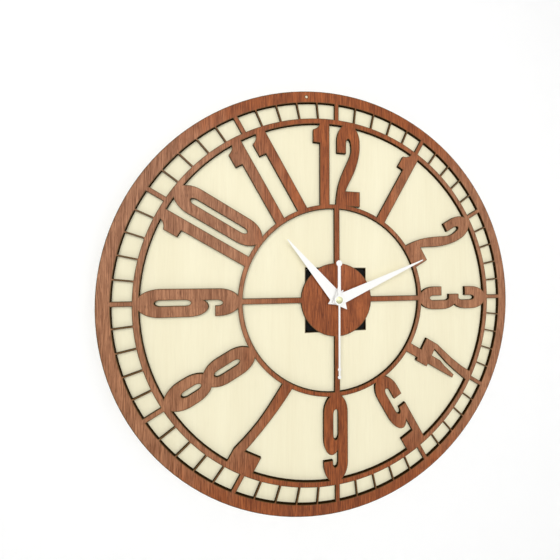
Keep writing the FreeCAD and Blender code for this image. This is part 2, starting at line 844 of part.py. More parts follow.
def battery_cell():
    axis = Vector(1, 0, 0)
    can_start = Vector(cell_bottom, cell_row, cell_axis_height)
    can = Part.makeCylinder(cell_diameter / 2, cell_length, can_start, axis)
    rounded = [edge for edge in can.Edges if len(edge.Vertexes) == 1]
    can = can.makeFillet(cell_edge_radius, rounded)
    nub_start = Vector(cell_shoulder, cell_row, cell_axis_height)
    return fused([can, Part.makeCylinder(cell_nub_diameter / 2, cell_nub_length, nub_start, axis)])


def positive_contact():
    """Flat strip on the right wall of the bay, with a tail up to the board."""
    line = plus_face + contact_thickness / 2
    pad = strip([(line, contact_foot), (line, cell_row + contact_width / 2)], contact_thickness)
    tail = strip([(line, contact_foot), (line, board_bottom + contact_tail_width)], contact_thickness)
    low = board_back
    return fused([raised(pad, contact_low, contact_high), raised(tail, low, low + contact_tail_width)])


def negative_contact():
    """Folded leaf at the left end of the bay, with a tail along the partition and up to the board."""
    line = inner_left + contact_thickness / 2
    crest = spring_crest - contact_thickness / 2
    back = (line + crest) / 2
    top = cell_row + contact_width / 2
    leaf = strip([(line, top), (line, contact_foot), (crest, cell_row), (back, top)], contact_thickness)
    run = partition_top + contact_tail_width / 2
    tail_route = [(line, top), (line, run), (board_middle, run), (board_middle, board_bottom)]
    root = strip([(line, contact_foot), (line, top)], contact_thickness)
    return fused([
        raised(leaf, contact_low, contact_high),
        raised(root, tail_low, contact_high),
        raised(strip(tail_route, contact_thickness), tail_low, tail_high)])


# Movement case

plate_left = inner_left + case_wall
plate_right = board_left - play
plate_low = partition_top + case_wall
post_inset = post_diameter / 2 + play
post_left, post_right = plate_left + post_inset, plate_right - post_inset
third_wheel_tip = third_module * (third_teeth / 2 + addendum_share)
high_post = third_axis + polar(third_wheel_tip + post_diameter / 2 + end_gap, high_post_direction)
plate_high = high_post.y + post_inset - play
plate_posts = [
    point(post_left, plate_low + post_inset), point(post_left, rotor_axis.y / 3),
    high_post, point(post_right, plate_low + post_inset)]
board_posts = [
    point(board_middle, board_bottom + post_diameter), point(board_middle, board_top - post_diameter)]


def case_outline():
    """Rectangle round the movement with its four upright corners rounded."""
    left, right, low, high = case_sides
    inset = case_corner_radius
    columns, rows = (left + inset, right - inset), (low + inset, high - inset)
    corners = [disc(inset, point(x, y)) for x in columns for y in rows]
    faces = [block(left + inset, right - inset, low, high), block(left, right, low + inset, high - inset)]
    return joined(faces + corners)


def bearing(centre, low, high):
    return tube(pivot_hole + boss_wall, pivot_hole, low, high, centre)


def movement_case():
    shell = raised(case_outline(), 0.0, case_depth)
    gear_room = block(inner_left, inner_right, partition_top, inner_top)
    shell = shell.cut(raised(gear_room, case_back_thickness, case_depth))
    shell = shell.cut(raised(block(inner_left, inner_right, inner_bottom, bay_top), 0.0, case_depth))
    well_radius = knob_diameter / 2 + knob_well_gap
    floor_back = knob_inset + knob_thickness + play
    floor_front = floor_back + knob_floor_thickness
    well_boss = post(well_radius + knob_well_wall, 0.0, floor_front, knob_axis)
    boss_top = case_back_thickness + boss_height
    rear_axes = [centre_axis, intermediate_axis, rotor_axis, third_axis]
    bosses = [bearing(axis, case_back_thickness, boss_top) for axis in rear_axes]
    posts = [post(post_diameter / 2, case_back_thickness, plate_height, place) for place in plate_posts]
    posts += [post(post_pin_diameter / 2, plate_height, plate_front, place) for place in plate_posts]
    posts += [post(post_diameter / 2, case_back_thickness, stator_height, place) for place in coil_posts]
    core_high = core_low + stator_thickness
    posts += [post(post_pin_diameter / 2, stator_height, core_high, place) for place in coil_posts]
    posts += [post(post_diameter / 2, case_back_thickness, board_back, place) for place in board_posts]
    shell = fused([shell, well_boss] + bosses + posts)
    shell = shell.cut(post(well_radius, 0.0, floor_back, knob_axis))
    shell = shell.cut(post(knob_shaft_diameter / 2 + pivot_clearance, 0.0, case_depth, knob_axis))
    plus_slot = block(plus_face - play, inner_right, bay_top, partition_top)
    minus_slot = block(inner_left, inner_left + contact_thickness + play, bay_top, partition_top)
    shell = shell.cut(raised(plus_slot, board_back - play, board_back + contact_tail_width + play))
    return shell.cut(raised(minus_slot, tail_low - play, tail_high + play))


def case_cover():
    parts = [raised(case_outline(), case_depth, case_front)]
    left, right, low, high = inner_left + play, inner_right - play, partition_top + play, inner_top - play
    rim = cover_lip_thickness
    lip = block(left, right, low, high).cut(block(left + rim, right - rim, low + rim, high - rim))
    parts.append(raised(lip, case_depth - cover_lip_depth, case_depth))
    for axis in (third_axis, knob_axis):
        parts.append(bearing(axis, case_depth - boss_height, case_depth))
    parts.append(post(works_stud_diameter / 2, works_wheel_height, case_depth, works_axis))
    return fused(parts).cut(post(bush_diameter / 2, case_depth, case_front))


def middle_plate():
    face = block(plate_left, plate_right, plate_low, plate_high)
    face = face.cut(disc(knob_shaft_diameter / 2 + layer_gap, knob_axis))
    wide = pivot_hole + pivot_clearance * 2
    holes = [disc(pivot_hole, intermediate_axis), disc(pivot_hole, rotor_axis)]
    holes += [disc(wide, centre_axis), disc(wide, third_axis)]
    holes += [disc(post_pin_diameter / 2, place) for place in plate_posts]
    for hole in holes:
        face = face.cut(hole)
    return raised(face, plate_height, plate_front)


# Bush, gasket, washer and nut

def threaded_bush():
    flange_low = case_depth - bush_flange_thickness
    parts = [post(bush_flange_diameter / 2, flange_low, case_depth)]
    thread_low = dial_front
    root = bush_diameter / 2 - bush_thread_depth
    parts.append(post(bush_diameter / 2, case_depth, thread_low))
    parts.append(post(root, thread_low, bush_front))
    turns = int((bush_front - thread_low) / bush_thread_pitch)
    for turn in range(turns):
        low = thread_low + turn * bush_thread_pitch
        crest = bush_thread_pitch / 4
        rise = Part.makeCone(root, bush_diameter / 2, crest, Vector(0, 0, low))
        fall = Part.makeCone(bush_diameter / 2, root, crest, Vector(0, 0, low + 2 * crest))
        parts += [rise, post(bush_diameter / 2, low + crest, low + 2 * crest), fall]
    return fused(parts).cut(post(bush_bore / 2, flange_low, bush_front))


def rubber_gasket():
    return tube(gasket_diameter / 2, bush_diameter / 2, case_front, dial_plane)


def brass_washer():
    return tube(washer_diameter / 2, bush_diameter / 2, dial_front, washer_front)


def hex_nut():
    radius = nut_across_flats / 2 / math.cos(math.pi / 6)
    corners = [polar(radius, 60.0 * index) for index in range(6)]
    prism = raised(polygon([(corner.x, corner.y) for corner in corners]), washer_front, nut_front)
    bevel = (radius - nut_across_flats / 2) * 2
    reach = radius + nut_thickness - bevel
    cone_height = nut_thickness + bevel / 2
    cone = Part.makeCone(reach + bevel, radius - bevel / 2, cone_height, Vector(0, 0, washer_front))
    return prism.common(cone).cut(post(bush_diameter / 2, washer_front, nut_front))


# Wall hanger

def wall_hanger():
    half = hanger_width / 2
    tab = block(-half, half, case_top, case_top + hanger_height)
    tab = tab.cut(disc(hanger_hole_diameter / 2, point(0.0, case_top + hanger_hole_height)))
    leg = block(-half, half, case_top, case_top + hanger_leg_thickness)
    return fused([raised(tab, 0.0, hanger_thickness), raised(leg, 0.0, hanger_leg_length)])


# Hands

def tapered_hand(length, root_width, barb_span, pipe_diameter):
    """Blade that tapers from its barbed root to a narrow round tip, pointing up."""
    tip = hand_tip_width / 2
    half = root_width / 2
    barb = barb_span / 2
    blade = polygon([
        (tip, length - tip), (half, hand_shoulder), (barb, hand_barb_lead), (0.0, -hand_tail_length),
        (-barb, hand_barb_lead), (-half, hand_shoulder), (-tip, length - tip)])
    return joined([blade, disc(tip, point(0.0, length - tip))]).cut(disc(pipe_diameter / 2))


def hour_hand():
    face = tapered_hand(hour_hand_length, hour_hand_root_width, hour_hand_barb_span, hour_pipe_diameter)
    return raised(turned(face, hour_hand_angle), hour_hand_height, hour_hand_height + hand_thickness)


def minute_hand():
    face = tapered_hand(
        minute_hand_length, minute_hand_root_width, minute_hand_barb_span, minute_pipe_diameter)
    return raised(turned(face, minute_hand_angle), minute_hand_height, minute_hand_height + hand_thickness)


def collet(pipe_diameter, hand_height):
    return tube(pipe_diameter / 2 + collet_wall, pipe_diameter / 2, hand_height - collet_height, hand_height)


def hour_hand_collet():
    return collet(hour_pipe_diameter, hour_hand_height)


def minute_hand_collet():
    return collet(minute_pipe_diameter, minute_hand_height)


def second_hand():
    tip_centre = second_pointer_length - second_tip_diameter / 2
    tail, pointer = second_tail_width / 2, second_pointer_width / 2
    parts = [disc(second_hub_diameter / 2), block(-pointer, pointer, 0.0, tip_centre)]
    parts += [disc(second_tip_diameter / 2, point(0.0, tip_centre))]
    parts += [disc(second_bead_diameter / 2, point(0.0, second_bead_distance))]
    parts += [block(-tail, tail, -second_tail_distance, 0.0)]
    parts += [disc(second_tail_diameter / 2, point(0.0, -second_tail_distance))]
    face = turned(joined(parts).cut(disc(pivot_radius)), second_hand_angle)
    return raised(face, second_hand_height, second_hand_height + hand_thickness)


def second_hand_cap():
    return domed(second_boss_diameter, second_boss_rise, second_hand_height + hand_thickness)


def second_hand_sleeve():
    return tube(
        second_tube_diameter / 2, pivot_radius, second_hand_height - collet_height, second_hand_height)


# Export

def upright(shape):
    turned_shape = shape.copy()
    turned_shape.rotate(Vector(), Vector(1, 0, 0), 90.0)
    return turned_shape


nodes = {
    "front_fretwork": front_fretwork(),
    "backing_panel": backing_panel(),
    "index_dowel": index_dowel(),
    "movement_case": movement_case(),
    "case_cover": case_cover(),
    "middle_plate": middle_plate(),
    "threaded_bush": threaded_bush(),
    "rubber_gasket": rubber_gasket(),
    "brass_washer": brass_washer(),
    "hex_nut": hex_nut(),
    "wall_hanger": wall_hanger(),
    "battery_cell": battery_cell(),
    "positive_contact": positive_contact(),
    "negative_contact": negative_contact(),
    "circuit_board": circuit_board(),
    "quartz_crystal": quartz_crystal(),
    "chip_dome": chip_dome(),
    "coil_core": coil_core(),
    "coil_bobbin": coil_bobbin(),
    "coil_winding": coil_winding(),
    "stator": stator(),
    "rotor_pinion": rotor_pinion(),
    "rotor_magnet": rotor_magnet(),
    "intermediate_wheel": intermediate_wheel(),
    "seconds_wheel": seconds_wheel(),
    "third_wheel": third_wheel(),
    "clutch_wheel": clutch_wheel(),
    "clutch_spring": clutch_spring(),
    "cannon_pinion": cannon_pinion(),
    "minute_works_wheel": minute_works_wheel(),
    "hour_wheel": hour_wheel(),
    "setting_knob": setting_knob(),
    "hour_hand": hour_hand(),
    "hour_hand_collet": hour_hand_collet(),
    "minute_hand": minute_hand(),
    "minute_hand_collet": minute_hand_collet(),
    "second_hand": second_hand(),
    "second_hand_cap": second_hand_cap(),
    "second_hand_sleeve": second_hand_sleeve(),
}

os.makedirs("parts", exist_ok=True)
for name, shape in nodes.items():
    solid = upright(shape)
    solid.exportStep("parts/" + name + ".step")
    state = "valid" if solid.isValid() else "not valid"
    print(name, len(solid.Solids), "solid,", round(solid.Volume, 1), "mm3,", state)
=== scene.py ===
import json
import math

import bmesh
import bpy
from mathutils import Matrix, Vector
from mathutils.bvhtree import BVHTree


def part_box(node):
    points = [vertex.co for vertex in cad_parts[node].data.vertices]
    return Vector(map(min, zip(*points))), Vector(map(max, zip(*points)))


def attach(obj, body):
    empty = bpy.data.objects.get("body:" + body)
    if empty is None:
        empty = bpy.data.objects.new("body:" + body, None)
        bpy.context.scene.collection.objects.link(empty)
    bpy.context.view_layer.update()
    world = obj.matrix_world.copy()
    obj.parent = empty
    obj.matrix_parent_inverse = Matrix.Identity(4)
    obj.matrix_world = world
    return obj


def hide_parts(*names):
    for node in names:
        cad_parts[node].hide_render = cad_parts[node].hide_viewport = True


bl_info = {
    "name": "Wooden fretwork wall clock",
    "version": (1, 0, 0),
    "blender": (4, 5, 0),
    "location": "3D View > Sidebar > Clock",
    "description": "Dresses a laser-cut wooden wall clock and its quartz movement",
    "category": "Object",
}

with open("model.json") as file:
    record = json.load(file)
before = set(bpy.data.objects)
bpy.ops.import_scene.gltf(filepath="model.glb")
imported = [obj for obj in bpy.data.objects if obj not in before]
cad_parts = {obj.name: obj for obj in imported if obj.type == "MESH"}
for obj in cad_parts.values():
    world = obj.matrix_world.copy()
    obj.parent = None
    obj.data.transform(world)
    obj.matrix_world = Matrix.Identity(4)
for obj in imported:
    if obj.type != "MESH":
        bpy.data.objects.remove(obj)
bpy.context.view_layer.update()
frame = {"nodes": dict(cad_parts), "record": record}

MM = 0.001

# The picture's square frame in pixels, and a sensor's width as Blender counts it
FRAME_PIXELS = 560
SENSOR_WIDTH = 36.0

# Places read from the frame; the dial faces -Y
DIAL_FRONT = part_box("front_fretwork")[0].y
DIAL_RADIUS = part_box("front_fretwork")[1].x
WALL_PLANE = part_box("movement_case")[1].y
CASE_LOW, CASE_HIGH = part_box("movement_case")
WINDING_LOW, WINDING_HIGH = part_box("coil_winding")
BOARD_LOW, BOARD_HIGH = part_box("circuit_board")
CELL_LOW, CELL_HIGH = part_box("battery_cell")

# How a node's loose triangles become one clean shape
MERGE_DISTANCE = 0.002 * MM
SHARP_ANGLE = math.radians(32)
FLAT_ANGLE = math.radians(0.5)
SHEET_FLAT_ANGLE = math.radians(0.2)
BEVEL_SEGMENTS = 2

# A sheet's face has a normal along Y by this much at least, and a wall is met as squarely as this, as cosines
FACE_NORMAL = 0.5
WALL_NORMAL = 0.95

# Spacing of the points along a sheet's rims, and the most rounds of drawing back its folded edge
RIM_STEP = 2 * MM
UNFOLD_ROUNDS = 12

# The stage: how far the wall and floor reach, how low the floor lies, and how much the camera sees them glow
ROOM_REACH = 24 * DIAL_RADIUS
FLOOR_HEIGHT = -4 * DIAL_RADIUS
WALL_GAP = 0.2 * MM
WALL_GLOW = 0.10
FLOOR_GLOW = 0.5
# Radius round the dial's axis where the wall carries a painted shadow behind the movement
PAINTED_SHADOW_RADIUS = 1.6 * CASE_HIGH.x
LAMP_PLACES = {"Key": (-0.35, -1.1, 0.35), "Fill": (0.45, -1.1, 0.05), "Back": (0.3, 1.1, 0.5)}
LAMP_SIZES = {"Key": 0.8, "Fill": 0.9, "Back": 0.9}


# Sizes and colours that a user would change

class WoodSettings(bpy.types.PropertyGroup):
    veneer_light: bpy.props.FloatVectorProperty(
        name="Veneer light", description="Lighter tone of the red-brown veneer", subtype="COLOR",
        size=3, min=0.0, max=1.0, default=(0.395, 0.107, 0.0265))
    veneer_dark: bpy.props.FloatVectorProperty(
        name="Veneer dark", description="Darker tone of the red-brown veneer", subtype="COLOR",
        size=3, min=0.0, max=1.0, default=(0.150, 0.033, 0.007))
    # Tones of a painted sheen: the veneer drawn lighter and pinker left and right of the middle
    sheen_light: bpy.props.FloatVectorProperty(
        name="Sheen light", description="Lighter tone of the painted sheen left and right of the middle", subtype="COLOR",
        size=3, min=0.0, max=1.0, default=(0.465, 0.213, 0.106))
    sheen_dark: bpy.props.FloatVectorProperty(
        name="Sheen dark", description="Darker tone of the painted sheen left and right of the middle", subtype="COLOR",
        size=3, min=0.0, max=1.0, default=(0.210, 0.081, 0.035))
    board_light: bpy.props.FloatVectorProperty(
        name="Board light", description="Main tone of the cream backing", subtype="COLOR",
        size=3, min=0.0, max=1.0, default=(0.945, 0.89, 0.655))
    board_dark: bpy.props.FloatVectorProperty(
        name="Board dark", description="Grain tone of the cream backing", subtype="COLOR",
        size=3, min=0.0, max=1.0, default=(0.865, 0.795, 0.56))
    char: bpy.props.FloatVectorProperty(
        name="Char", description="Colour of the laser-cut walls", subtype="COLOR",
        size=3, min=0.0, max=1.0, default=(0.017, 0.0075, 0.001))
    scorch: bpy.props.FloatVectorProperty(
        name="Scorch", description="Colour of the scorched lines along the cuts", subtype="COLOR",
        size=3, min=0.0, max=1.0, default=(0.085, 0.047, 0.009))
    scorch_width: bpy.props.FloatProperty(
        name="Scorch width", description="Width of the scorched line along each cut", subtype="DISTANCE",
        unit="LENGTH", min=0.0001, max=0.002, precision=5, default=0.75 * MM)
    scorch_reach: bpy.props.FloatProperty(
        name="Scorch reach", description="Narrower strips than this are scorched right across",
        subtype="DISTANCE", unit="LENGTH", min=0.0005, max=0.02, precision=5, default=3 * MM)


class HandSettings(bpy.types.PropertyGroup):
    paint: bpy.props.FloatVectorProperty(
        name="Paint", description="Paint of the three hands", subtype="COLOR",
        size=3, min=0.0, max=1.0, default=(0.885, 0.88, 0.855))
    brass: bpy.props.FloatVectorProperty(
        name="Brass", description="Brass of the boss, the nut and the collets", subtype="COLOR",
        size=3, min=0.0, max=1.0, default=(0.70, 0.69, 0.44))
    edge_round: bpy.props.FloatProperty(
        name="Edge round", description="Rounding of the hands' edges", subtype="DISTANCE",
        unit="LENGTH", min=0.00002, max=0.0002, precision=5, default=0.08 * MM)


class MovementSettings(bpy.types.PropertyGroup):
    case: bpy.props.FloatVectorProperty(
        name="Case", description="Plastic of the movement's case", subtype="COLOR",
        size=3, min=0.0, max=1.0, default=(0.011, 0.011, 0.0115))
    jacket: bpy.props.FloatVectorProperty(
        name="Jacket", description="Film round the battery", subtype="COLOR",
        size=3, min=0.0, max=1.0, default=(0.05, 0.12, 0.20))
    wheels: bpy.props.FloatVectorProperty(
        name="Wheels", description="Plastic of the wheels", subtype="COLOR",
        size=3, min=0.0, max=1.0, default=(0.80, 0.79, 0.74))
    rib_count: bpy.props.IntProperty(
        name="Ribs", description="Grip ribs on each side of the case", min=3, max=40, default=14)
    rib_width: bpy.props.FloatProperty(
        name="Rib width", description="Width of one grip rib", subtype="DISTANCE",
        unit="LENGTH", min=0.0002, max=0.003, precision=5, default=0.8 * MM)
    wire_turns: bpy.props.IntProperty(
        name="Wire turns", description="Turns of the coil's outer layer", min=5, max=120, default=46)
    joint_columns: bpy.props.IntProperty(
        name="Solder columns", description="Columns of solder joints on the board", min=1, max=6, default=2)
    joint_rows: bpy.props.IntProperty(
        name="Solder rows", description="Rows of solder joints on the board", min=1, max=12, default=5)


class StageSettings(bpy.types.PropertyGroup):
    key_power: bpy.props.FloatProperty(
        name="Key power", description="Power of the soft key lamp", unit="POWER", min=0.0, max=200.0,
        default=6.4)
    fill_power: bpy.props.FloatProperty(
        name="Fill power", description="Power of the soft fill lamp", unit="POWER", min=0.0, max=200.0,
        default=3.3)
    back_power: bpy.props.FloatProperty(
        name="Back power", description="Power of the lamp behind the wall", unit="POWER", min=0.0, max=200.0,
        default=6.5)
    room_light: bpy.props.FloatProperty(
        name="Room light", description="Even light of the white room", min=0.0, max=2.0, default=0.40)
    camera_place: bpy.props.FloatVectorProperty(
        name="Camera place", description="Where the camera stands", subtype="XYZ", unit="LENGTH",
        size=3, precision=5, default=(-82.79 * MM, -274.44 * MM, 20.41 * MM))
    camera_turn: bpy.props.FloatVectorProperty(
        name="Camera turn", description="Rise above the horizon, roll and turn to the right of the camera",
        subtype="EULER", unit="ROTATION", size=3,
        default=[math.radians(angle) for angle in (1.395, -0.094, -14.632)])
    focal_pixels: bpy.props.FloatProperty(
        name="Focal pixels", description="Focal length in pixels of the square frame", min=50.0, max=5000.0,
        default=292.58)
    axis_column: bpy.props.FloatProperty(
        name="Axis column", description="Column of the lens axis in the square frame", min=0.0, max=560.0,
        default=319.89)
    axis_row: bpy.props.FloatProperty(
        name="Axis row", description="Row of the lens axis in the square frame", min=0.0, max=560.0,
        default=270.18)


SETTINGS = {"wood": WoodSettings, "hand": HandSettings, "movement": MovementSettings, "stage": StageSettings}


def settings(name):
    """The scene's values of one group of settings."""
    return getattr(bpy.context.scene, "clock_" + name)


# Node trees

def new_tree(name, kind, inputs, outputs):
    """Empty node group with its two ends; inputs are (name, socket, default) and outputs (name, socket)."""
    tree = bpy.data.node_groups.new(name, kind)
    for label, socket, default in inputs:
        item = tree.interface.new_socket(name=label, in_out="INPUT", socket_type="NodeSocket" + socket)
        if default is not None:
            item.default_value = default
    for label, socket in outputs:
        tree.interface.new_socket(name=label, in_out="OUTPUT", socket_type="NodeSocket" + socket)
    return tree, tree.nodes.new("NodeGroupInput"), tree.nodes.new("NodeGroupOutput")


def join(tree, start, end):
    tree.links.new(start, end)


def feed(tree, socket, value):
    """Links another node's output to the socket, or sets the socket to a plain value."""
    if isinstance(value, bpy.types.NodeSocket):
        join(tree, value, socket)
    else:
        socket.default_value = value


def add(tree, kind, **values):
    """New node; keywords with a leading in_ set its input sockets, the rest its properties."""
    node = tree.nodes.new(kind)
    for key, value in values.items():
        if not key.startswith("in_"):
            setattr(node, key, value)
    for key, value in values.items():
        if key.startswith("in_"):
            label = key[3:]
            feed(tree, node.inputs[int(label) if label.isdigit() else label.replace("_", " ")], value)
    return node


def blend_colours(tree, factor, first, second, mode="MIX"):
    """Colour mix; a Mix node's sockets 6 and 7 and its output 2 are the ones for colours."""
    node = add(tree, "ShaderNodeMix", data_type="RGBA", blend_type=mode)
    for key, value in (("Factor", factor), (6, first), (7, second)):
        feed(tree, node.inputs[key], value)
    return node.outputs[2]


def arithmetic(tree, operation, *values, clamp=False):
    node = add(tree, "ShaderNodeMath", operation=operation, use_clamp=clamp)
    for index, value in enumerate(values):
        feed(tree, node.inputs[index], value)
    return node.outputs[0]


def remap(tree, value, low, high, new_low=0.0, new_high=1.0):
    """The value's place between low and high, carried over to the new range and kept in it."""
    node = add(tree, "ShaderNodeMapRange", in_Value=value)
    node.inputs["From Min"].default_value = low
    node.inputs["From Max"].default_value = high
    node.inputs["To Min"].default_value = new_low
    node.inputs["To Max"].default_value = new_high
    return node.outputs[0]


def object_place(tree):
    """The point's place on Object coordinates."""
    return add(tree, "ShaderNodeTexCoord").outputs["Object"]


def split(tree, place):
    """The place's x, y and z."""
    return add(tree, "ShaderNodeSeparateXYZ", in_Vector=place).outputs


def axis_distance(tree, parts):
    """Distance from the Y axis of a place in its parts."""
    squares = [arithmetic(tree, "MULTIPLY", parts[i], parts[i]) for i in (0, 2)]
    return arithmetic(tree, "SQRT", arithmetic(tree, "ADD", *squares))


def stretched_noise(tree, place, spacing, detail, roughness=0.6):
    """Noise whose cells have the given size along each axis, in metres."""
    mapping = add(tree, "ShaderNodeMapping", in_Vector=place)
    mapping.inputs["Scale"].default_value = [1.0 / step for step in spacing]
    noise = add(tree, "ShaderNodeTexNoise", in_Vector=mapping.outputs[0])
    noise.inputs["Scale"].default_value = 1.0
    noise.inputs["Detail"].default_value = detail
    noise.inputs["Roughness"].default_value = roughness
    return noise.outputs[0]


def grain_group():
    """Straight wood grain along Z: broad bands, narrow streaks and short dark pores."""
    group, ends, out = new_tree(
        "Wood grain", "ShaderNodeTree",
        [("Band width", "Float", 9 * MM), ("Streak width", "Float", 0.9 * MM), ("Band share", "Float", 1.5),
         ("Streak share", "Float", 3.0), ("Pores", "Float", 0.5)],
        [("Tone", "Float"), ("Pore", "Float"), ("Height", "Float")])
    warp_size, warp_reach = (60 * MM, 60 * MM, 90 * MM), 6 * MM
    depth_ratio = 8.0
    pore_start, pore_full = 0.60, 0.68
    streak_relief = 0.4
    place = object_place(group)
    x, y, z = split(group, place)

    def swing(value, share):
        return arithmetic(group, "MULTIPLY", arithmetic(group, "SUBTRACT", value, 0.5), share)

    across = arithmetic(group, "ADD", x, swing(stretched_noise(group, place, warp_size, 2.0), warp_reach))

    def layer(width, ratio, detail):
        """Noise in cells of the given width, longer along Z by the ratio."""
        shift = arithmetic(group, "DIVIDE", across, width)
        length = arithmetic(group, "DIVIDE", z, arithmetic(group, "MULTIPLY", width, ratio))
        depth = arithmetic(group, "DIVIDE", y, arithmetic(group, "MULTIPLY", width, depth_ratio))
        spot = group.nodes.new("ShaderNodeCombineXYZ")
        for index, value in enumerate((shift, depth, length)):
            join(group, value, spot.inputs[index])
        noise = add(group, "ShaderNodeTexNoise", in_Vector=spot.outputs[0])
        noise.inputs["Scale"].default_value = 1.0
        noise.inputs["Detail"].default_value = detail
        return noise.outputs[0]

    streak_width = ends.outputs["Streak width"]
    bands = layer(ends.outputs["Band width"], 12.0, 3.0)
    streaks = layer(streak_width, 22.0, 3.0)
    flecks = layer(arithmetic(group, "MULTIPLY", streak_width, 0.5), 14.0, 1.0)
    tone = arithmetic(group, "ADD", swing(bands, ends.outputs["Band share"]),
                      swing(streaks, ends.outputs["Streak share"]))
    join(group, arithmetic(group, "ADD", tone, 0.5, clamp=True), out.inputs["Tone"])
    pore = arithmetic(group, "MULTIPLY", remap(group, flecks, pore_start, pore_full), ends.outputs["Pores"])
    join(group, pore, out.inputs["Pore"])
    height = arithmetic(group, "SUBTRACT", arithmetic(group, "MULTIPLY", streaks, streak_relief), pore)
    join(group, height, out.inputs["Height"])
    return group


def sheen_patch_group():
    """Painted sheen: a broad lighter patch left and right of the middle, with streaky edges."""
    group, ends, out = new_tree(
        "Painted sheen patches", "ShaderNodeTree",
        [("Inner", "Float", 30 * MM), ("Outer", "Float", 100 * MM), ("Top", "Float", 175 * MM),
         ("Full", "Float", 105 * MM)],
        [("Mask", "Float")])
    streak_size, wander_reach = (5 * MM, 40 * MM, 60 * MM), 60 * MM
    place = object_place(group)
    streaky = stretched_noise(group, place, streak_size, 3.0)
    wander = arithmetic(group, "MULTIPLY", arithmetic(group, "SUBTRACT", streaky, 0.5), wander_reach)
    x, _, z = split(group, place)
    masks = []
    for part, start, end in ((x, "Inner", "Outer"), (z, "Top", "Full")):
        away = arithmetic(group, "ADD", arithmetic(group, "ABSOLUTE", part), wander)
        span = add(group, "ShaderNodeMapRange", in_Value=away, interpolation_type="SMOOTHSTEP")
        join(group, ends.outputs[start], span.inputs["From Min"])
        join(group, ends.outputs[end], span.inputs["From Max"])
        masks.append(span.outputs[0])
    join(group, arithmetic(group, "MULTIPLY", *masks), out.inputs["Mask"])
    return group


def speckle_group():
    """Fine mottling and roughness of moulded plastic, paint and metal."""
    group, ends, out = new_tree(
        "Fine mottle", "ShaderNodeTree",
        [("Grain", "Float", 0.5 * MM), ("Roughness", "Float", 0.4), ("Spread", "Float", 0.1)],
        [("Shade", "Float"), ("Roughness", "Float"), ("Height", "Float")])
    broad_size = 14 * MM
    place = object_place(group)
    noise = add(group, "ShaderNodeTexNoise", in_Vector=place)
    join(group, arithmetic(group, "DIVIDE", 1.0, ends.outputs["Grain"]), noise.inputs["Scale"])
    noise.inputs["Detail"].default_value = 3.0
    broad = stretched_noise(group, place, [broad_size] * 3, 3.0)
    swing = arithmetic(group, "SUBTRACT", arithmetic(group, "MULTIPLY", noise.outputs[0], 2.0), 1.0)
    drift = arithmetic(group, "SUBTRACT", arithmetic(group, "MULTIPLY", broad, 2.0), 1.0)
    total = arithmetic(group, "ADD", swing, drift)
    join(group, remap(group, total, -1.0, 1.0), out.inputs["Shade"])
    rough = arithmetic(group, "MULTIPLY_ADD", total, ends.outputs["Spread"], ends.outputs["Roughness"])
    join(group, rough, out.inputs["Roughness"])
    join(group, noise.outputs[0], out.inputs["Height"])
    return group


def turning_group():
    """Lathe rings round the axis of the hands."""
    group, ends, out = new_tree(
        "Turning marks", "ShaderNodeTree", [("Pitch", "Float", 0.12 * MM)], [("Height", "Float")])
    parts = split(group, object_place(group))
    along = arithmetic(group, "ADD", axis_distance(group, parts), parts[1])
    turn = arithmetic(group, "MULTIPLY", arithmetic(group, "DIVIDE", along, ends.outputs["Pitch"]), math.tau)
    wave = arithmetic(group, "MULTIPLY_ADD", arithmetic(group, "SINE", turn), 0.5, 0.5)
    join(group, wave, out.inputs["Height"])
    return group


def placed_group(tree, name, **values):
    """The named group as a node of a material, built the first time it is asked for."""
    makers = {"Wood grain": grain_group, "Painted sheen patches": sheen_patch_group, "Fine mottle": speckle_group,
              "Turning marks": turning_group}
    node = tree.nodes.new("ShaderNodeGroup")
    node.node_tree = bpy.data.node_groups.get(name) or makers[name]()
    for key, value in values.items():
        node.inputs[key.replace("_", " ").capitalize()].default_value = value
    return node


# Materials

def new_material(name):
    material = bpy.data.materials.new(name)
    material.use_nodes = True
    shader = material.node_tree.nodes["Principled BSDF"]
    return material, material.node_tree, shader


def add_bump(tree, shader, height, distance, strength):
    """Relief as deep as the distance where the height goes from 0 to 1."""
    bump = add(tree, "ShaderNodeBump", in_Height=height)
    bump.inputs["Distance"].default_value = distance
    bump.inputs["Strength"].default_value = strength
    join(tree, bump.outputs[0], shader.inputs["Normal"])


def opaque(colour):
    return (*colour, 1.0)


def wood_face(name, tones, char, grain_sizes, roughness, gloss, painted_sheen=0.0):
    """Veneered face with grain along Z and a scorched line along each cut.

    The tones are light and dark, then the same two for the painted sheen left and right of the middle.
    """
    pore_shade, burn_curve = 0.45, 0.6
    rough_swing = 0.06
    material, tree, shader = new_material(name)
    grain = placed_group(tree, "Wood grain", **grain_sizes)
    light, dark, sheen_light, sheen_dark = [opaque(tone) for tone in tones]
    colour = blend_colours(tree, grain.outputs["Tone"], dark, light)
    # Painted sheen: lighter, pinker tones left and right of the middle of the dial
    if painted_sheen:
        sheen_mask = arithmetic(tree, "MULTIPLY", placed_group(tree, "Painted sheen patches").outputs["Mask"], painted_sheen)
        sheen_colour = blend_colours(tree, grain.outputs["Tone"], sheen_dark, sheen_light)
        colour = blend_colours(tree, sheen_mask, colour, sheen_colour)
    pore_colour = opaque([share * pore_shade for share in dark[:3]])
    colour = blend_colours(tree, grain.outputs["Pore"], colour, pore_colour)
    scorch = add(tree, "ShaderNodeAttribute", attribute_name="scorch").outputs["Fac"]
    burnt = arithmetic(tree, "POWER", scorch, burn_curve)
    join(tree, blend_colours(tree, burnt, colour, opaque(char)), shader.inputs["Base Color"])
    rough = remap(tree, grain.outputs["Tone"], 0.0, 1.0, roughness + rough_swing, roughness - rough_swing)
    join(tree, rough, shader.inputs["Roughness"])
    shader.inputs["Specular IOR Level"].default_value = gloss
    add_bump(tree, shader, grain.outputs["Height"], 0.06 * MM, 0.6)
    return material


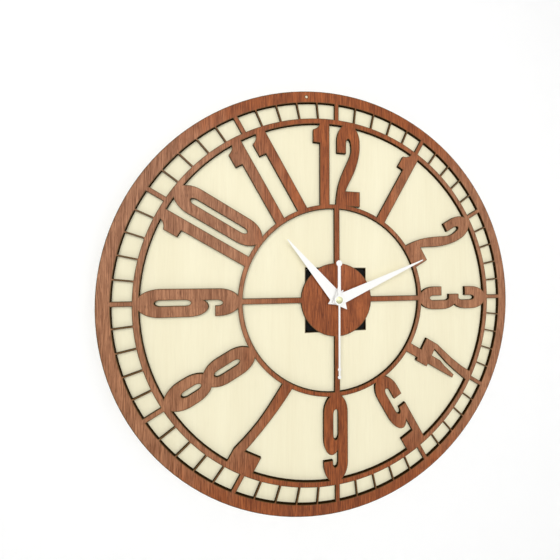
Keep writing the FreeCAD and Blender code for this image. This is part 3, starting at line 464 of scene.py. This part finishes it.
def charred_wall(name, char):
    """Laser-cut wall: nearly black with fine upright striations through the sheet."""
    rib_size, soot_size = (0.35 * MM, 6 * MM, 0.35 * MM), (5 * MM, 2 * MM, 5 * MM)
    warm_share = 1.6
    material, tree, shader = new_material(name)
    place = object_place(tree)
    ribs = stretched_noise(tree, place, rib_size, 2.0)
    soot = stretched_noise(tree, place, soot_size, 3.0)
    warm = [share * warm_share for share in char]
    colour = blend_colours(tree, remap(tree, soot, 0.35, 0.75), opaque(char), opaque(warm))
    join(tree, colour, shader.inputs["Base Color"])
    join(tree, remap(tree, soot, 0.0, 1.0, 0.75, 0.95), shader.inputs["Roughness"])
    shader.inputs["Specular IOR Level"].default_value = 0.05
    shader.inputs["Specular Tint"].default_value = (1.0, 0.65, 0.3, 1.0)
    add_bump(tree, shader, ribs, 0.08 * MM, 0.7)
    return material


def moulded(name, colour, roughness=0.42, spread=0.08, grain=0.35 * MM, relief=0.02 * MM, lighter=1.5,
            gloss=0.5):
    """Moulded plastic with a fine spark-eroded texture; its palest spots are lighter by the given factor."""
    material, tree, shader = new_material(name)
    mottle = placed_group(tree, "Fine mottle", grain=grain, roughness=roughness, spread=spread)
    pale = [min(1.0, share * lighter) for share in colour]
    shade = blend_colours(tree, mottle.outputs["Shade"], opaque(colour), opaque(pale))
    join(tree, shade, shader.inputs["Base Color"])
    join(tree, mottle.outputs["Roughness"], shader.inputs["Roughness"])
    shader.inputs["Specular IOR Level"].default_value = gloss
    add_bump(tree, shader, mottle.outputs["Height"], relief, 0.6)
    return material


def metal(name, colour, roughness=0.28, spread=0.08, pitch=0.12 * MM, relief=0.006 * MM):
    """Turned or stamped metal with fine rings and a dull film in places."""
    film_share = 0.72
    material, tree, shader = new_material(name)
    mottle = placed_group(tree, "Fine mottle", grain=1.2 * MM, roughness=roughness, spread=spread)
    rings = placed_group(tree, "Turning marks", pitch=pitch)
    dull = [share * film_share for share in colour]
    shade = blend_colours(tree, mottle.outputs["Shade"], opaque(dull), opaque(colour))
    join(tree, shade, shader.inputs["Base Color"])
    shader.inputs["Metallic"].default_value = 1.0
    join(tree, mottle.outputs["Roughness"], shader.inputs["Roughness"])
    add_bump(tree, shader, rings.outputs["Height"], relief, 0.5)
    return material


def painted(name, colour):
    """Smooth satin paint on thin stamped metal."""
    material = moulded(name, colour, roughness=0.38, spread=0.05, grain=0.8 * MM, relief=0.008 * MM,
                       lighter=1.03)
    shader = material.node_tree.nodes["Principled BSDF"]
    shader.inputs["Coat Weight"].default_value = 0.25
    shader.inputs["Coat Roughness"].default_value = 0.15
    return material


def battery_film(name, colour):
    """Metallic film with a paler band round the positive end, and a thin line before the band."""
    band_width, band_blur = 13 * MM, 0.2 * MM
    line_gap, line_half = 1.5 * MM, 0.4 * MM
    band_colour, line_colour, deep_colour = (0.55, 0.56, 0.55), (0.62, 0.60, 0.52), (0.02, 0.02, 0.02)
    material, tree, shader = new_material(name)
    mottle = placed_group(tree, "Fine mottle", grain=0.25 * MM, roughness=0.3, spread=0.08)
    along = split(tree, object_place(tree))[0]
    band_start = CELL_HIGH.x - band_width
    band = remap(tree, along, band_start, band_start + band_blur)
    line = arithmetic(tree, "COMPARE", along, band_start - line_gap, line_half)
    body = blend_colours(tree, band, opaque(colour), opaque(band_colour))
    body = blend_colours(tree, line, body, opaque(line_colour))
    deep = blend_colours(tree, 0.25, body, opaque(deep_colour), "MULTIPLY")
    join(tree, blend_colours(tree, mottle.outputs["Shade"], deep, body), shader.inputs["Base Color"])
    shader.inputs["Metallic"].default_value = 0.35
    join(tree, mottle.outputs["Roughness"], shader.inputs["Roughness"])
    add_bump(tree, shader, mottle.outputs["Height"], 0.01 * MM, 0.4)
    return material


def end_grain(name, colour, char):
    """Cut end of a pale dowel: growth rings, and char where the hole was burnt."""
    ring_width, late_wood_share = 0.3 * MM, 0.8
    char_start_share = 0.42
    material, tree, shader = new_material(name)
    low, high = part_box("index_dowel")
    centre = (low + high) / 2
    middle = add(tree, "ShaderNodeMapping", in_Vector=object_place(tree))
    middle.inputs["Location"].default_value = (-centre.x, 0.0, -centre.z)
    radius = axis_distance(tree, split(tree, middle.outputs[0]))
    rings = arithmetic(tree, "SINE", arithmetic(tree, "MULTIPLY", radius, math.tau / ring_width))
    dark = [share * late_wood_share for share in colour]
    wood = blend_colours(tree, remap(tree, rings, -1.0, 1.0), opaque(dark), opaque(colour))
    width = high.x - low.x
    edge = remap(tree, radius, width * char_start_share, width / 2)
    join(tree, blend_colours(tree, edge, wood, opaque(char)), shader.inputs["Base Color"])
    shader.inputs["Roughness"].default_value = 0.7
    add_bump(tree, shader, rings, 0.02 * MM, 0.5)
    return material


def circuit_mask(name):
    """Green solder mask with paler copper tracks under it."""
    track_pitch, track_full, track_end = 1.6 * MM, 0.10, 0.16
    mask_colour, track_colour = (0.006, 0.10, 0.03), (0.03, 0.26, 0.08)
    material, tree, shader = new_material(name)
    spot = add(tree, "ShaderNodeMapping", in_Vector=object_place(tree))
    spot.inputs["Scale"].default_value = [1.0 / track_pitch] * 3
    cells = add(tree, "ShaderNodeTexVoronoi", in_Vector=spot.outputs[0], feature="DISTANCE_TO_EDGE",
                distance="CHEBYCHEV")
    cells.inputs["Scale"].default_value = 1.0
    track = remap(tree, cells.outputs[0], track_full, track_end, 1.0, 0.0)
    colour = blend_colours(tree, track, opaque(mask_colour), opaque(track_colour))
    join(tree, colour, shader.inputs["Base Color"])
    mottle = placed_group(tree, "Fine mottle", grain=0.4 * MM, roughness=0.25, spread=0.06)
    join(tree, mottle.outputs["Roughness"], shader.inputs["Roughness"])
    add_bump(tree, shader, track, 0.03 * MM, 0.6)
    return material


def enamelled_wire(name):
    """Copper wire under clear lacquer."""
    deep_copper, pale_copper = (0.42, 0.12, 0.04), (0.66, 0.24, 0.09)
    material, tree, shader = new_material(name)
    mottle = placed_group(tree, "Fine mottle", grain=0.6 * MM, roughness=0.3, spread=0.08)
    colour = blend_colours(tree, mottle.outputs["Shade"], opaque(deep_copper), opaque(pale_copper))
    join(tree, colour, shader.inputs["Base Color"])
    shader.inputs["Metallic"].default_value = 0.85
    join(tree, mottle.outputs["Roughness"], shader.inputs["Roughness"])
    return material


# Meshes

body_of = {node: body for body, nodes in frame["record"]["behaviour"]["bodies"].items() for node in nodes}


def merged_copy(node, flat_angle=None):
    """The node's shape as one clean closed mesh of its own; a flat angle joins up its flat faces."""
    mesh = frame["nodes"][node].data.copy()
    mesh.materials.clear()
    shape = bmesh.new()
    shape.from_mesh(mesh)
    bmesh.ops.remove_doubles(shape, verts=shape.verts, dist=MERGE_DISTANCE)
    if flat_angle:
        bmesh.ops.dissolve_limit(shape, angle_limit=flat_angle, verts=shape.verts, edges=shape.edges,
                                 delimit={"NORMAL"})
    return shape, mesh


def finish_copy(shape, mesh, name, node, materials):
    """Puts the worked shape in the scene as a piece that stands for its node."""
    for edge in shape.edges:
        edge.smooth = not (len(edge.link_faces) == 2 and edge.calc_face_angle(0.0) > SHARP_ANGLE)
    for face in shape.faces:
        face.smooth = True
    shape.to_mesh(mesh)
    shape.free()
    mesh.update()
    piece = bpy.data.objects.new(name, mesh)
    bpy.context.scene.collection.objects.link(piece)
    for material in materials:
        mesh.materials.append(material)
    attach(piece, body_of[node])
    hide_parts(node)
    return piece


def cut_sheet(node, name, face, wall, scorch_width, scorch_reach):
    """Flat sheet with charred walls and a scorched line along each cut, or right across a narrow strip."""
    shape, mesh = merged_copy(node, SHEET_FLAT_ANGLE)
    divide_rims(shape, RIM_STEP)
    bmesh.ops.triangulate(shape, faces=shape.faces)
    shape.normal_update()
    walls = BVHTree.FromBMesh(shape)
    low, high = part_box(node)
    layer = shape.verts.layers.float.new("scorch")
    for vert in shape.verts:
        vert[layer] = 1.0
    for side in (-1.0, 1.0):
        faces = [f for f in shape.faces if f.normal.y * side > FACE_NORMAL]
        bands = bmesh.ops.inset_region(
            shape, faces=faces, thickness=scorch_width, use_boundary=True, use_even_offset=True)["faces"]
        inner = {v for f in faces for v in f.verts}
        border = {v for f in bands for v in f.verts} - inner
        unfold(shape, faces + bands, inner, border, side)
        for vert in inner:
            width = strip_width(walls, vert, border, (low.y + high.y) / 2)
            vert[layer] = max(0.0, 1.0 - (width / scorch_reach) ** 2)
    for f in shape.faces:
        f.material_index = 0 if abs(f.normal.y) > FACE_NORMAL else 1
    return finish_copy(shape, mesh, name, node, [face, wall])


def divide_rims(shape, step):
    """Adds points along the long edges where a face meets a wall."""
    for edge in list(shape.edges):
        first, second = edge.link_faces
        count = int(edge.calc_length() / step)
        if abs(first.normal.y - second.normal.y) > FACE_NORMAL:
            near = edge.verts[0]
            for left in range(count, 0, -1):
                edge, near = bmesh.utils.edge_split(edge, near, 1 / (left + 1))
                edge = next(e for e in near.link_edges if e is not edge)


def unfold(shape, faces, inner, border, side):
    """Draws inset vertices back to their cut where the strip is too narrow and faces have folded over."""
    for _ in range(UNFOLD_ROUNDS):
        shape.normal_update()
        folded = {v for f in faces if f.normal.y * side < FACE_NORMAL for v in f.verts if v in inner}
        if not folded:
            break
        for vert in folded:
            for edge in vert.link_edges:
                start = edge.other_vert(vert)
                if start in border:
                    vert.co = vert.co.lerp(start.co, 0.5)
                    break


def strip_width(walls, vert, border, depth):
    """Distance from a cut to the next one, straight across the sheet from an inset vertex."""
    starts = [edge.other_vert(vert) for edge in vert.link_edges if edge.other_vert(vert) in border]
    if not starts:
        return math.inf
    across = (vert.co - starts[0].co).normalized()
    start = Vector((vert.co.x, depth, vert.co.z))
    spot, normal, _, distance = walls.ray_cast(start, across)
    if spot is None or normal.dot(across) < WALL_NORMAL:
        return math.inf
    return distance + (vert.co - starts[0].co).length


def softened(node, material, width):
    """Puts a copy of the node, with its sharp edges rounded, in the node's place."""
    shape, mesh = merged_copy(node, FLAT_ANGLE)
    piece = finish_copy(shape, mesh, node + "_finished", node, [material])
    bevel = piece.modifiers.new("Edges", "BEVEL")
    bevel.width = width
    bevel.segments = BEVEL_SEGMENTS
    bevel.limit_method = "ANGLE"
    bevel.angle_limit = SHARP_ANGLE


def dressed(node, material):
    """Gives a node that stays as it is its material."""
    materials = frame["nodes"][node].data.materials
    materials.clear()
    materials.append(material)


# Geometry node trees

def geometry_tree(name, inputs):
    return new_tree(name, "GeometryNodeTree", inputs, [("Geometry", "Geometry")])


def close_tree(tree, geometry, material, out):
    """Makes the instances real and gives them their material."""
    real = add(tree, "GeometryNodeRealizeInstances", in_Geometry=geometry)
    coat = add(tree, "GeometryNodeSetMaterial", in_Geometry=real.outputs[0])
    coat.inputs["Material"].default_value = material
    join(tree, coat.outputs[0], out.inputs[0])


def grown(name, tree, values, body):
    """Runs a geometry tree once and keeps its result as a plain mesh that rides on a body."""
    seed = bpy.data.objects.new(name + "_seed", bpy.data.meshes.new(name + "_seed"))
    bpy.context.scene.collection.objects.link(seed)
    modifier = seed.modifiers.new("Grow", "NODES")
    modifier.node_group = tree
    for item in tree.interface.items_tree:
        if item.in_out == "INPUT" and item.name in values:
            modifier[item.identifier] = values[item.name]
    bpy.context.view_layer.update()
    evaluated = seed.evaluated_get(bpy.context.evaluated_depsgraph_get())
    mesh = bpy.data.meshes.new_from_object(evaluated)
    bpy.data.objects.remove(seed)
    mesh.name = name
    piece = bpy.data.objects.new(name, mesh)
    bpy.context.scene.collection.objects.link(piece)
    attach(piece, body)
    return piece


def rib_tree(material):
    """Row of upright grip ribs on both sides of the case."""
    tree, ends, out = geometry_tree("Grip ribs", [
        ("Count", "Int", 14), ("Rib size", "Vector", None), ("Start", "Vector", None),
        ("Step", "Vector", None), ("Across", "Vector", None)])
    bar = add(tree, "GeometryNodeMeshCube", in_Size=ends.outputs["Rib size"])
    row = add(tree, "GeometryNodeMeshLine", mode="OFFSET", in_Count=ends.outputs["Count"])
    join(tree, ends.outputs["Start"], row.inputs["Start Location"])
    join(tree, ends.outputs["Step"], row.inputs["Offset"])
    ribs = add(tree, "GeometryNodeInstanceOnPoints", in_Points=row.outputs[0], in_Instance=bar.outputs[0])
    other = add(tree, "GeometryNodeTransform", in_Geometry=ribs.outputs[0],
                in_Translation=ends.outputs["Across"])
    both = tree.nodes.new("GeometryNodeJoinGeometry")
    join(tree, ribs.outputs[0], both.inputs[0])
    join(tree, other.outputs[0], both.inputs[0])
    close_tree(tree, both.outputs[0], material, out)
    return tree


def winding_tree(material):
    """Outer layer of the coil: one wire wound evenly round the bobbin, which lies along X."""
    points_in_turn, wire_sides = 24, 6
    tree, ends, out = geometry_tree("Wire winding", [
        ("Turns", "Int", 46), ("Radius", "Float", 3 * MM), ("Length", "Float", 12 * MM),
        ("Wire", "Float", 0.1 * MM), ("Centre", "Vector", None)])
    coil = add(tree, "GeometryNodeCurveSpiral", in_Resolution=points_in_turn)
    join(tree, ends.outputs["Turns"], coil.inputs["Rotations"])
    join(tree, ends.outputs["Radius"], coil.inputs["Start Radius"])
    join(tree, ends.outputs["Radius"], coil.inputs["End Radius"])
    join(tree, ends.outputs["Length"], coil.inputs["Height"])
    section = add(tree, "GeometryNodeCurvePrimitiveCircle", in_Resolution=wire_sides)
    join(tree, ends.outputs["Wire"], section.inputs["Radius"])
    wire = add(tree, "GeometryNodeCurveToMesh", in_Curve=coil.outputs[0], in_Profile_Curve=section.outputs[0])
    wire.inputs["Fill Caps"].default_value = True
    laid = add(tree, "GeometryNodeTransform", in_Geometry=wire.outputs[0])
    laid.inputs["Rotation"].default_value = (0.0, math.radians(90), 0.0)
    placed = add(tree, "GeometryNodeTransform", in_Geometry=laid.outputs[0],
                 in_Translation=ends.outputs["Centre"])
    smooth = add(tree, "GeometryNodeSetShadeSmooth", in_Geometry=placed.outputs[0])
    close_tree(tree, smooth.outputs[0], material, out)
    return tree


def solder_tree(material):
    """Grid of domed solder joints on the board's face."""
    drop_segments, drop_rings = 12, 8
    tree, ends, out = geometry_tree("Solder joints", [
        ("Columns", "Int", 2), ("Rows", "Int", 5), ("Width", "Float", 3 * MM), ("Height", "Float", 10 * MM),
        ("Radius", "Float", 0.45 * MM), ("Centre", "Vector", None)])
    grid = add(tree, "GeometryNodeMeshGrid")
    join(tree, ends.outputs["Width"], grid.inputs["Size X"])
    join(tree, ends.outputs["Height"], grid.inputs["Size Y"])
    join(tree, ends.outputs["Columns"], grid.inputs["Vertices X"])
    join(tree, ends.outputs["Rows"], grid.inputs["Vertices Y"])
    drop = add(tree, "GeometryNodeMeshUVSphere", in_Segments=drop_segments, in_Rings=drop_rings,
               in_Radius=ends.outputs["Radius"])
    drops = add(tree, "GeometryNodeInstanceOnPoints", in_Points=grid.outputs[0], in_Instance=drop.outputs[0])
    upright = add(tree, "GeometryNodeTransform", in_Geometry=drops.outputs[0],
                  in_Translation=ends.outputs["Centre"])
    upright.inputs["Rotation"].default_value = (math.radians(90), 0.0, 0.0)
    close_tree(tree, upright.outputs[0], material, out)
    return tree


# Operators, one for each piece or group of like pieces

class CLOCK_OT_dial(bpy.types.Operator):
    """Finishes the fretwork dial, the backing panel and the index dowel"""
    bl_idname = "clock.dial"
    bl_label = "Finish the dial"

    def execute(self, context):
        wood = settings("wood")
        wall = charred_wall("Charred wall", wood.char)
        # The veneer's face carries a painted sheen left and right of the middle
        face = wood_face(
            "Red-brown veneer", (wood.veneer_light, wood.veneer_dark, wood.sheen_light, wood.sheen_dark),
            wood.scorch, {"band_width": 7 * MM, "streak_width": 0.8 * MM, "band_share": 1.5,
                          "streak_share": 3.2, "pores": 0.6},
            roughness=0.5, gloss=0.25, painted_sheen=0.95)
        board = wood_face(
            "Cream veneer", (wood.board_light, wood.board_dark, wood.board_light, wood.board_dark),
            wood.scorch, {"band_width": 26 * MM, "streak_width": 2.2 * MM, "band_share": 1.2,
                          "streak_share": 0.8, "pores": 0.03},
            roughness=0.6, gloss=0.25)
        cut_sheet("front_fretwork", "fretwork_sheet", face, wall, wood.scorch_width, wood.scorch_reach)
        cut_sheet("backing_panel", "backing_sheet", board, wall, wood.scorch_width, wood.scorch_width)
        dressed("index_dowel", end_grain("Dowel end grain", (0.86, 0.74, 0.52), wood.char))
        return {"FINISHED"}


class CLOCK_OT_hands(bpy.types.Operator):
    """Finishes the three hands with their collets and boss"""
    bl_idname = "clock.hands"
    bl_label = "Finish the hands"

    def execute(self, context):
        hand = settings("hand")
        paint = painted("White hand paint", hand.paint)
        brass = metal("Turned brass", hand.brass, roughness=0.5)
        for node in ("hour_hand", "minute_hand", "second_hand"):
            softened(node, paint, hand.edge_round)
        softened("second_hand_cap", brass, hand.edge_round)
        for node in ("hour_hand_collet", "minute_hand_collet", "second_hand_sleeve"):
            softened(node, brass, hand.edge_round)
        return {"FINISHED"}


class CLOCK_OT_fasteners(bpy.types.Operator):
    """Finishes the bush, gasket, washer and nut that clamp the dial"""
    bl_idname = "clock.fasteners"
    bl_label = "Finish the fasteners"

    def execute(self, context):
        hand = settings("hand")
        duller = 0.9
        worn = [share * duller for share in hand.brass]
        brass = metal("Brass fastener", worn, roughness=0.3, pitch=0.2 * MM)
        dressed("threaded_bush", brass)
        for node in ("brass_washer", "hex_nut"):
            softened(node, brass, 0.06 * MM)
        rubber = moulded("Black rubber", (0.015, 0.015, 0.015), roughness=0.75, spread=0.05, grain=0.2 * MM)
        softened("rubber_gasket", rubber, 0.1 * MM)
        return {"FINISHED"}


class CLOCK_OT_case(bpy.types.Operator):
    """Finishes the movement's case, cover, knob and hanger, and adds grip ribs"""
    bl_idname = "clock.case"
    bl_label = "Finish the case"

    def execute(self, context):
        movement = settings("movement")
        # The cover is black plastic drawn at three tenths of the case's colour: its own black plus painted
        # shade in the hole behind the dial
        cover_painted_shade = 0.3
        rib_depth, rib_length_share, rib_span_share = 0.25 * MM, 0.62, 0.6
        plastic = moulded("Black case plastic", movement.case, roughness=0.42, lighter=1.8, gloss=0.3)
        softened("movement_case", plastic, 0.2 * MM)
        shade = [share * cover_painted_shade for share in movement.case]
        matt = moulded("Matt cover plastic", shade, roughness=0.6, lighter=1.6, gloss=0.08)
        softened("case_cover", matt, 0.15 * MM)
        tab = moulded("Hanger plastic", movement.case, roughness=0.5, lighter=1.8, gloss=0.3)
        softened("wall_hanger", tab, 0.15 * MM)
        pale = moulded("Pale knob plastic", (0.62, 0.60, 0.55), roughness=0.4, lighter=1.1)
        softened("setting_knob", pale, 0.12 * MM)
        size = CASE_HIGH - CASE_LOW
        middle = (CASE_HIGH + CASE_LOW) / 2
        span = size.z * rib_span_share
        grown("case_grip_ribs", rib_tree(plastic), {
            "Count": movement.rib_count,
            "Rib size": (rib_depth * 2, size.y * rib_length_share, movement.rib_width),
            "Start": (CASE_LOW.x, middle.y, middle.z - span / 2),
            "Step": (0.0, 0.0, span / (movement.rib_count - 1)),
            "Across": (size.x, 0.0, 0.0),
        }, "clock_body")
        return {"FINISHED"}


class CLOCK_OT_battery(bpy.types.Operator):
    """Finishes the battery and its contacts"""
    bl_idname = "clock.battery"
    bl_label = "Finish the battery"

    def execute(self, context):
        movement = settings("movement")
        film = battery_film("Battery film", movement.jacket)
        steel = metal("Nickel steel", (0.72, 0.71, 0.68), roughness=0.25)
        shape, mesh = merged_copy("battery_cell")
        bare_back, bare_front = 0.9 * MM, 2.4 * MM
        for face in shape.faces:
            wrapped = CELL_LOW.x + bare_back < face.calc_center_median().x < CELL_HIGH.x - bare_front
            face.material_index = 0 if wrapped else 1
        finish_copy(shape, mesh, "battery_jacketed", "battery_cell", [film, steel])
        for node in ("positive_contact", "negative_contact"):
            softened(node, steel, 0.05 * MM)
        return {"FINISHED"}


class CLOCK_OT_electrics(bpy.types.Operator):
    """Finishes the circuit board and the motor, and winds the coil"""
    bl_idname = "clock.electrics"
    bl_label = "Finish the electrics"

    def execute(self, context):
        movement = settings("movement")
        joint_radius, joint_width_share, joint_height_share = 0.4 * MM, 0.7, 0.86
        steel = metal("Stamped steel", (0.52, 0.52, 0.53), roughness=0.38)
        dressed("circuit_board", circuit_mask("Solder mask"))
        dressed("quartz_crystal", metal("Drawn can", (0.74, 0.73, 0.70), roughness=0.2))
        dressed("chip_dome", moulded("Chip resin", (0.01, 0.01, 0.01), roughness=0.2, spread=0.04))
        for node in ("stator", "coil_core"):
            softened(node, steel, 0.05 * MM)
        softened("coil_bobbin", moulded("Bobbin plastic", (0.72, 0.68, 0.55), lighter=1.1), 0.08 * MM)
        dressed("rotor_magnet", moulded("Sintered magnet", (0.07, 0.07, 0.08), roughness=0.6))
        wire = enamelled_wire("Enamelled wire")
        centre = (WINDING_LOW + WINDING_HIGH) / 2
        length = WINDING_HIGH.x - WINDING_LOW.x
        wire_radius = length / movement.wire_turns / 2
        coil = grown("coil_wire", winding_tree(wire), {
            "Turns": movement.wire_turns,
            "Radius": (WINDING_HIGH.z - WINDING_LOW.z) / 2 - wire_radius,
            "Length": length - 2 * wire_radius,
            "Wire": wire_radius,
            "Centre": (WINDING_LOW.x + wire_radius, centre.y, centre.z),
        }, "clock_body")
        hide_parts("coil_winding")
        solder = metal("Solder", (0.70, 0.70, 0.68), roughness=0.22)
        board_size = BOARD_HIGH - BOARD_LOW
        board_middle = (BOARD_LOW + BOARD_HIGH) / 2
        grown("board_solder", solder_tree(solder), {
            "Columns": movement.joint_columns,
            "Rows": movement.joint_rows,
            "Width": board_size.x * joint_width_share,
            "Height": board_size.z * joint_height_share,
            "Radius": joint_radius,
            "Centre": (board_middle.x, BOARD_LOW.y, board_middle.z),
        }, "clock_body")
        return {"FINISHED"}


class CLOCK_OT_wheels(bpy.types.Operator):
    """Finishes the wheels of the going train and the motion work"""
    bl_idname = "clock.wheels"
    bl_label = "Finish the wheels"

    def execute(self, context):
        movement = settings("movement")
        hand = settings("hand")
        plastic = moulded("Wheel plastic", movement.wheels, roughness=0.35, lighter=1.08)
        shader = plastic.node_tree.nodes["Principled BSDF"]
        shader.inputs["Subsurface Weight"].default_value = 0.15
        shader.inputs["Subsurface Radius"].default_value = (0.8 * MM, 0.7 * MM, 0.6 * MM)
        brass = metal("Wheel brass", hand.brass, roughness=0.3)
        red = moulded("Rotor plastic", (0.55, 0.10, 0.05), roughness=0.35, lighter=1.15)
        for node in ("intermediate_wheel", "seconds_wheel", "third_wheel", "clutch_wheel",
                     "minute_works_wheel", "hour_wheel"):
            dressed(node, plastic)
        dressed("rotor_pinion", red)
        dressed("cannon_pinion", brass)
        dressed("clutch_spring", metal("Spring steel", (0.60, 0.60, 0.60), roughness=0.3))
        dressed("middle_plate", moulded("Plate plastic", (0.70, 0.70, 0.66), roughness=0.4, lighter=1.1))
        return {"FINISHED"}


class CLOCK_OT_stage(bpy.types.Operator):
    """Builds the pale wall and floor, the soft light and the camera"""
    bl_idname = "clock.stage"
    bl_label = "Build the stage"

    def execute(self, context):
        build_wall()
        build_lights()
        build_camera()
        return {"FINISHED"}


# Stage

def white_surface(name, camera_glow, painted_shadow_radius=None):
    """Matt white that lets light through from behind.

    The camera sees it glow a little, and near its origin it sees a painted shadow: black paint without glow.
    """
    dull_white, clean_white, black = (0.90, 0.90, 0.90), (0.94, 0.94, 0.935), (0.0, 0.0, 0.0)
    material, tree, shader = new_material(name)
    output = tree.nodes["Material Output"]
    mottle = placed_group(tree, "Fine mottle", grain=3 * MM, roughness=0.85, spread=0.03)
    paint = blend_colours(tree, mottle.outputs["Shade"], opaque(dull_white), opaque(clean_white))
    glow = add(tree, "ShaderNodeEmission")
    glow.inputs["Strength"].default_value = camera_glow
    path = add(tree, "ShaderNodeLightPath")
    # Painted shadow: near its origin the wall is black paint without glow for camera rays, standing in for
    # the clock's own shadow
    if painted_shadow_radius:
        away = add(tree, "ShaderNodeVectorMath", operation="LENGTH", in_0=object_place(tree))
        radius = away.outputs["Value"]
        near = remap(tree, radius, painted_shadow_radius, 2 * painted_shadow_radius, 1.0, 0.0)
        shade = arithmetic(tree, "MULTIPLY", near, path.outputs["Is Camera Ray"])
        paint = blend_colours(tree, shade, paint, opaque(black))
        join(tree, remap(tree, shade, 0.0, 1.0, camera_glow, 0.0), glow.inputs["Strength"])
    join(tree, paint, shader.inputs["Base Color"])
    join(tree, mottle.outputs["Roughness"], shader.inputs["Roughness"])
    shader.inputs["Specular IOR Level"].default_value = 0.0
    both = add(tree, "ShaderNodeAddShader")
    join(tree, shader.outputs[0], both.inputs[0])
    join(tree, glow.outputs[0], both.inputs[1])
    lit = add(tree, "ShaderNodeMixShader", in_0=path.outputs["Is Camera Ray"])
    join(tree, shader.outputs[0], lit.inputs[1])
    join(tree, both.outputs[0], lit.inputs[2])
    back = add(tree, "ShaderNodeNewGeometry").outputs["Backfacing"]
    through = arithmetic(tree, "MAXIMUM", back, path.outputs["Is Shadow Ray"])
    clear = add(tree, "ShaderNodeBsdfTransparent")
    whole = add(tree, "ShaderNodeMixShader", in_0=through)
    join(tree, lit.outputs[0], whole.inputs[1])
    join(tree, clear.outputs[0], whole.inputs[2])
    join(tree, whole.outputs[0], output.inputs["Surface"])
    return material


def plane(name, corners, material):
    """Flat four-sided piece of the stage."""
    mesh = bpy.data.meshes.new(name)
    mesh.from_pydata(corners, [], [(0, 1, 2, 3)])
    mesh.materials.append(material)
    piece = bpy.data.objects.new(name, mesh)
    bpy.context.scene.collection.objects.link(piece)


def build_wall():
    """A wall just behind the movement and a floor well below the dial."""
    far, floor, depth = ROOM_REACH, FLOOR_HEIGHT, WALL_PLANE + WALL_GAP
    plane("wall", [(-far, depth, floor), (far, depth, floor), (far, depth, far), (-far, depth, far)],
          white_surface("White wall", WALL_GLOW, PAINTED_SHADOW_RADIUS))
    plane("floor", [(-far, -far, floor), (far, -far, floor), (far, far, floor), (-far, far, floor)],
          white_surface("White floor", FLOOR_GLOW))


def area_lamp(name, power):
    """Round soft lamp that looks at the middle of the dial."""
    lamp = bpy.data.lights.new(name, "AREA")
    lamp.shape = "DISK"
    lamp.size = LAMP_SIZES[name]
    lamp.energy = power
    holder = bpy.data.objects.new(name, lamp)
    holder.location = LAMP_PLACES[name]
    gaze = Vector((0.0, DIAL_FRONT, 0.0)) - Vector(LAMP_PLACES[name])
    holder.rotation_euler = gaze.to_track_quat("-Z", "Y").to_euler()
    bpy.context.scene.collection.objects.link(holder)


def build_lights():
    """Three soft lamps in an evenly lit room, which the camera sees as pure white."""
    stage = settings("stage")
    for name, power in (("Key", stage.key_power), ("Fill", stage.fill_power), ("Back", stage.back_power)):
        area_lamp(name, power)
    world = bpy.context.scene.world or bpy.data.worlds.new("Room")
    bpy.context.scene.world = world
    world.use_nodes = True
    tree = world.node_tree
    tree.nodes.clear()
    path = add(tree, "ShaderNodeLightPath")
    seen = arithmetic(tree, "MAXIMUM", path.outputs["Is Camera Ray"], path.outputs["Is Glossy Ray"])
    seen = arithmetic(tree, "MAXIMUM", seen, path.outputs["Is Transmission Ray"])
    room = add(tree, "ShaderNodeBackground")
    room.inputs["Strength"].default_value = stage.room_light
    white = add(tree, "ShaderNodeBackground")
    mixed = add(tree, "ShaderNodeMixShader", in_0=seen)
    join(tree, room.outputs[0], mixed.inputs[1])
    join(tree, white.outputs[0], mixed.inputs[2])
    for node in (room, white):
        node.inputs["Color"].default_value = (1.0, 1.0, 1.0, 1.0)
    output = tree.nodes.new("ShaderNodeOutputWorld")
    join(tree, mixed.outputs[0], output.inputs["Surface"])


def build_camera():
    """The camera at the photograph's view, with the lens shifted as its framing is."""
    stage = settings("stage")
    rise, roll, turn = stage.camera_turn
    lens = bpy.data.cameras.new("Camera")
    lens.sensor_width = SENSOR_WIDTH
    lens.lens = stage.focal_pixels / FRAME_PIXELS * SENSOR_WIDTH
    lens.shift_x = 0.5 - stage.axis_column / FRAME_PIXELS
    lens.shift_y = stage.axis_row / FRAME_PIXELS - 0.5
    lens.clip_start = 10 * MM
    camera = bpy.data.objects.new("Camera", lens)
    level = Matrix.Rotation(turn, 4, "Z") @ Matrix.Rotation(math.radians(90) + rise, 4, "X")
    place = Matrix.Translation(Vector(stage.camera_place))
    camera.matrix_world = place @ level @ Matrix.Rotation(roll, 4, "Z")
    bpy.context.scene.collection.objects.link(camera)
    bpy.context.scene.camera = camera
    bpy.context.scene.view_settings.view_transform = "Standard"


# Panel and registration

OPERATORS = [CLOCK_OT_stage, CLOCK_OT_dial, CLOCK_OT_hands, CLOCK_OT_fasteners, CLOCK_OT_case,
             CLOCK_OT_battery, CLOCK_OT_electrics, CLOCK_OT_wheels]


class CLOCK_PT_panel(bpy.types.Panel):
    """Lists the steps and settings of the clock"""
    bl_idname = "CLOCK_PT_panel"
    bl_label = "Wooden wall clock"
    bl_space_type = "VIEW_3D"
    bl_region_type = "UI"
    bl_category = "Clock"

    def draw(self, context):
        for operator in OPERATORS:
            self.layout.operator(operator.bl_idname)
        for name, group in SETTINGS.items():
            box = self.layout.box()
            for label in group.__annotations__:
                box.prop(settings(name), label)


def register():
    for group in SETTINGS.values():
        bpy.utils.register_class(group)
    for name, group in SETTINGS.items():
        setattr(bpy.types.Scene, "clock_" + name, bpy.props.PointerProperty(type=group))
    for operator in OPERATORS:
        bpy.utils.register_class(operator)
    bpy.utils.register_class(CLOCK_PT_panel)


def unregister():
    bpy.utils.unregister_class(CLOCK_PT_panel)
    for operator in reversed(OPERATORS):
        bpy.utils.unregister_class(operator)
    for name, group in SETTINGS.items():
        delattr(bpy.types.Scene, "clock_" + name)
        bpy.utils.unregister_class(group)


def main():
    register()
    for operator in OPERATORS:
        group, step = operator.bl_idname.split(".")
        getattr(getattr(bpy.ops, group), step)()


if __name__ == "__main__":
    main()
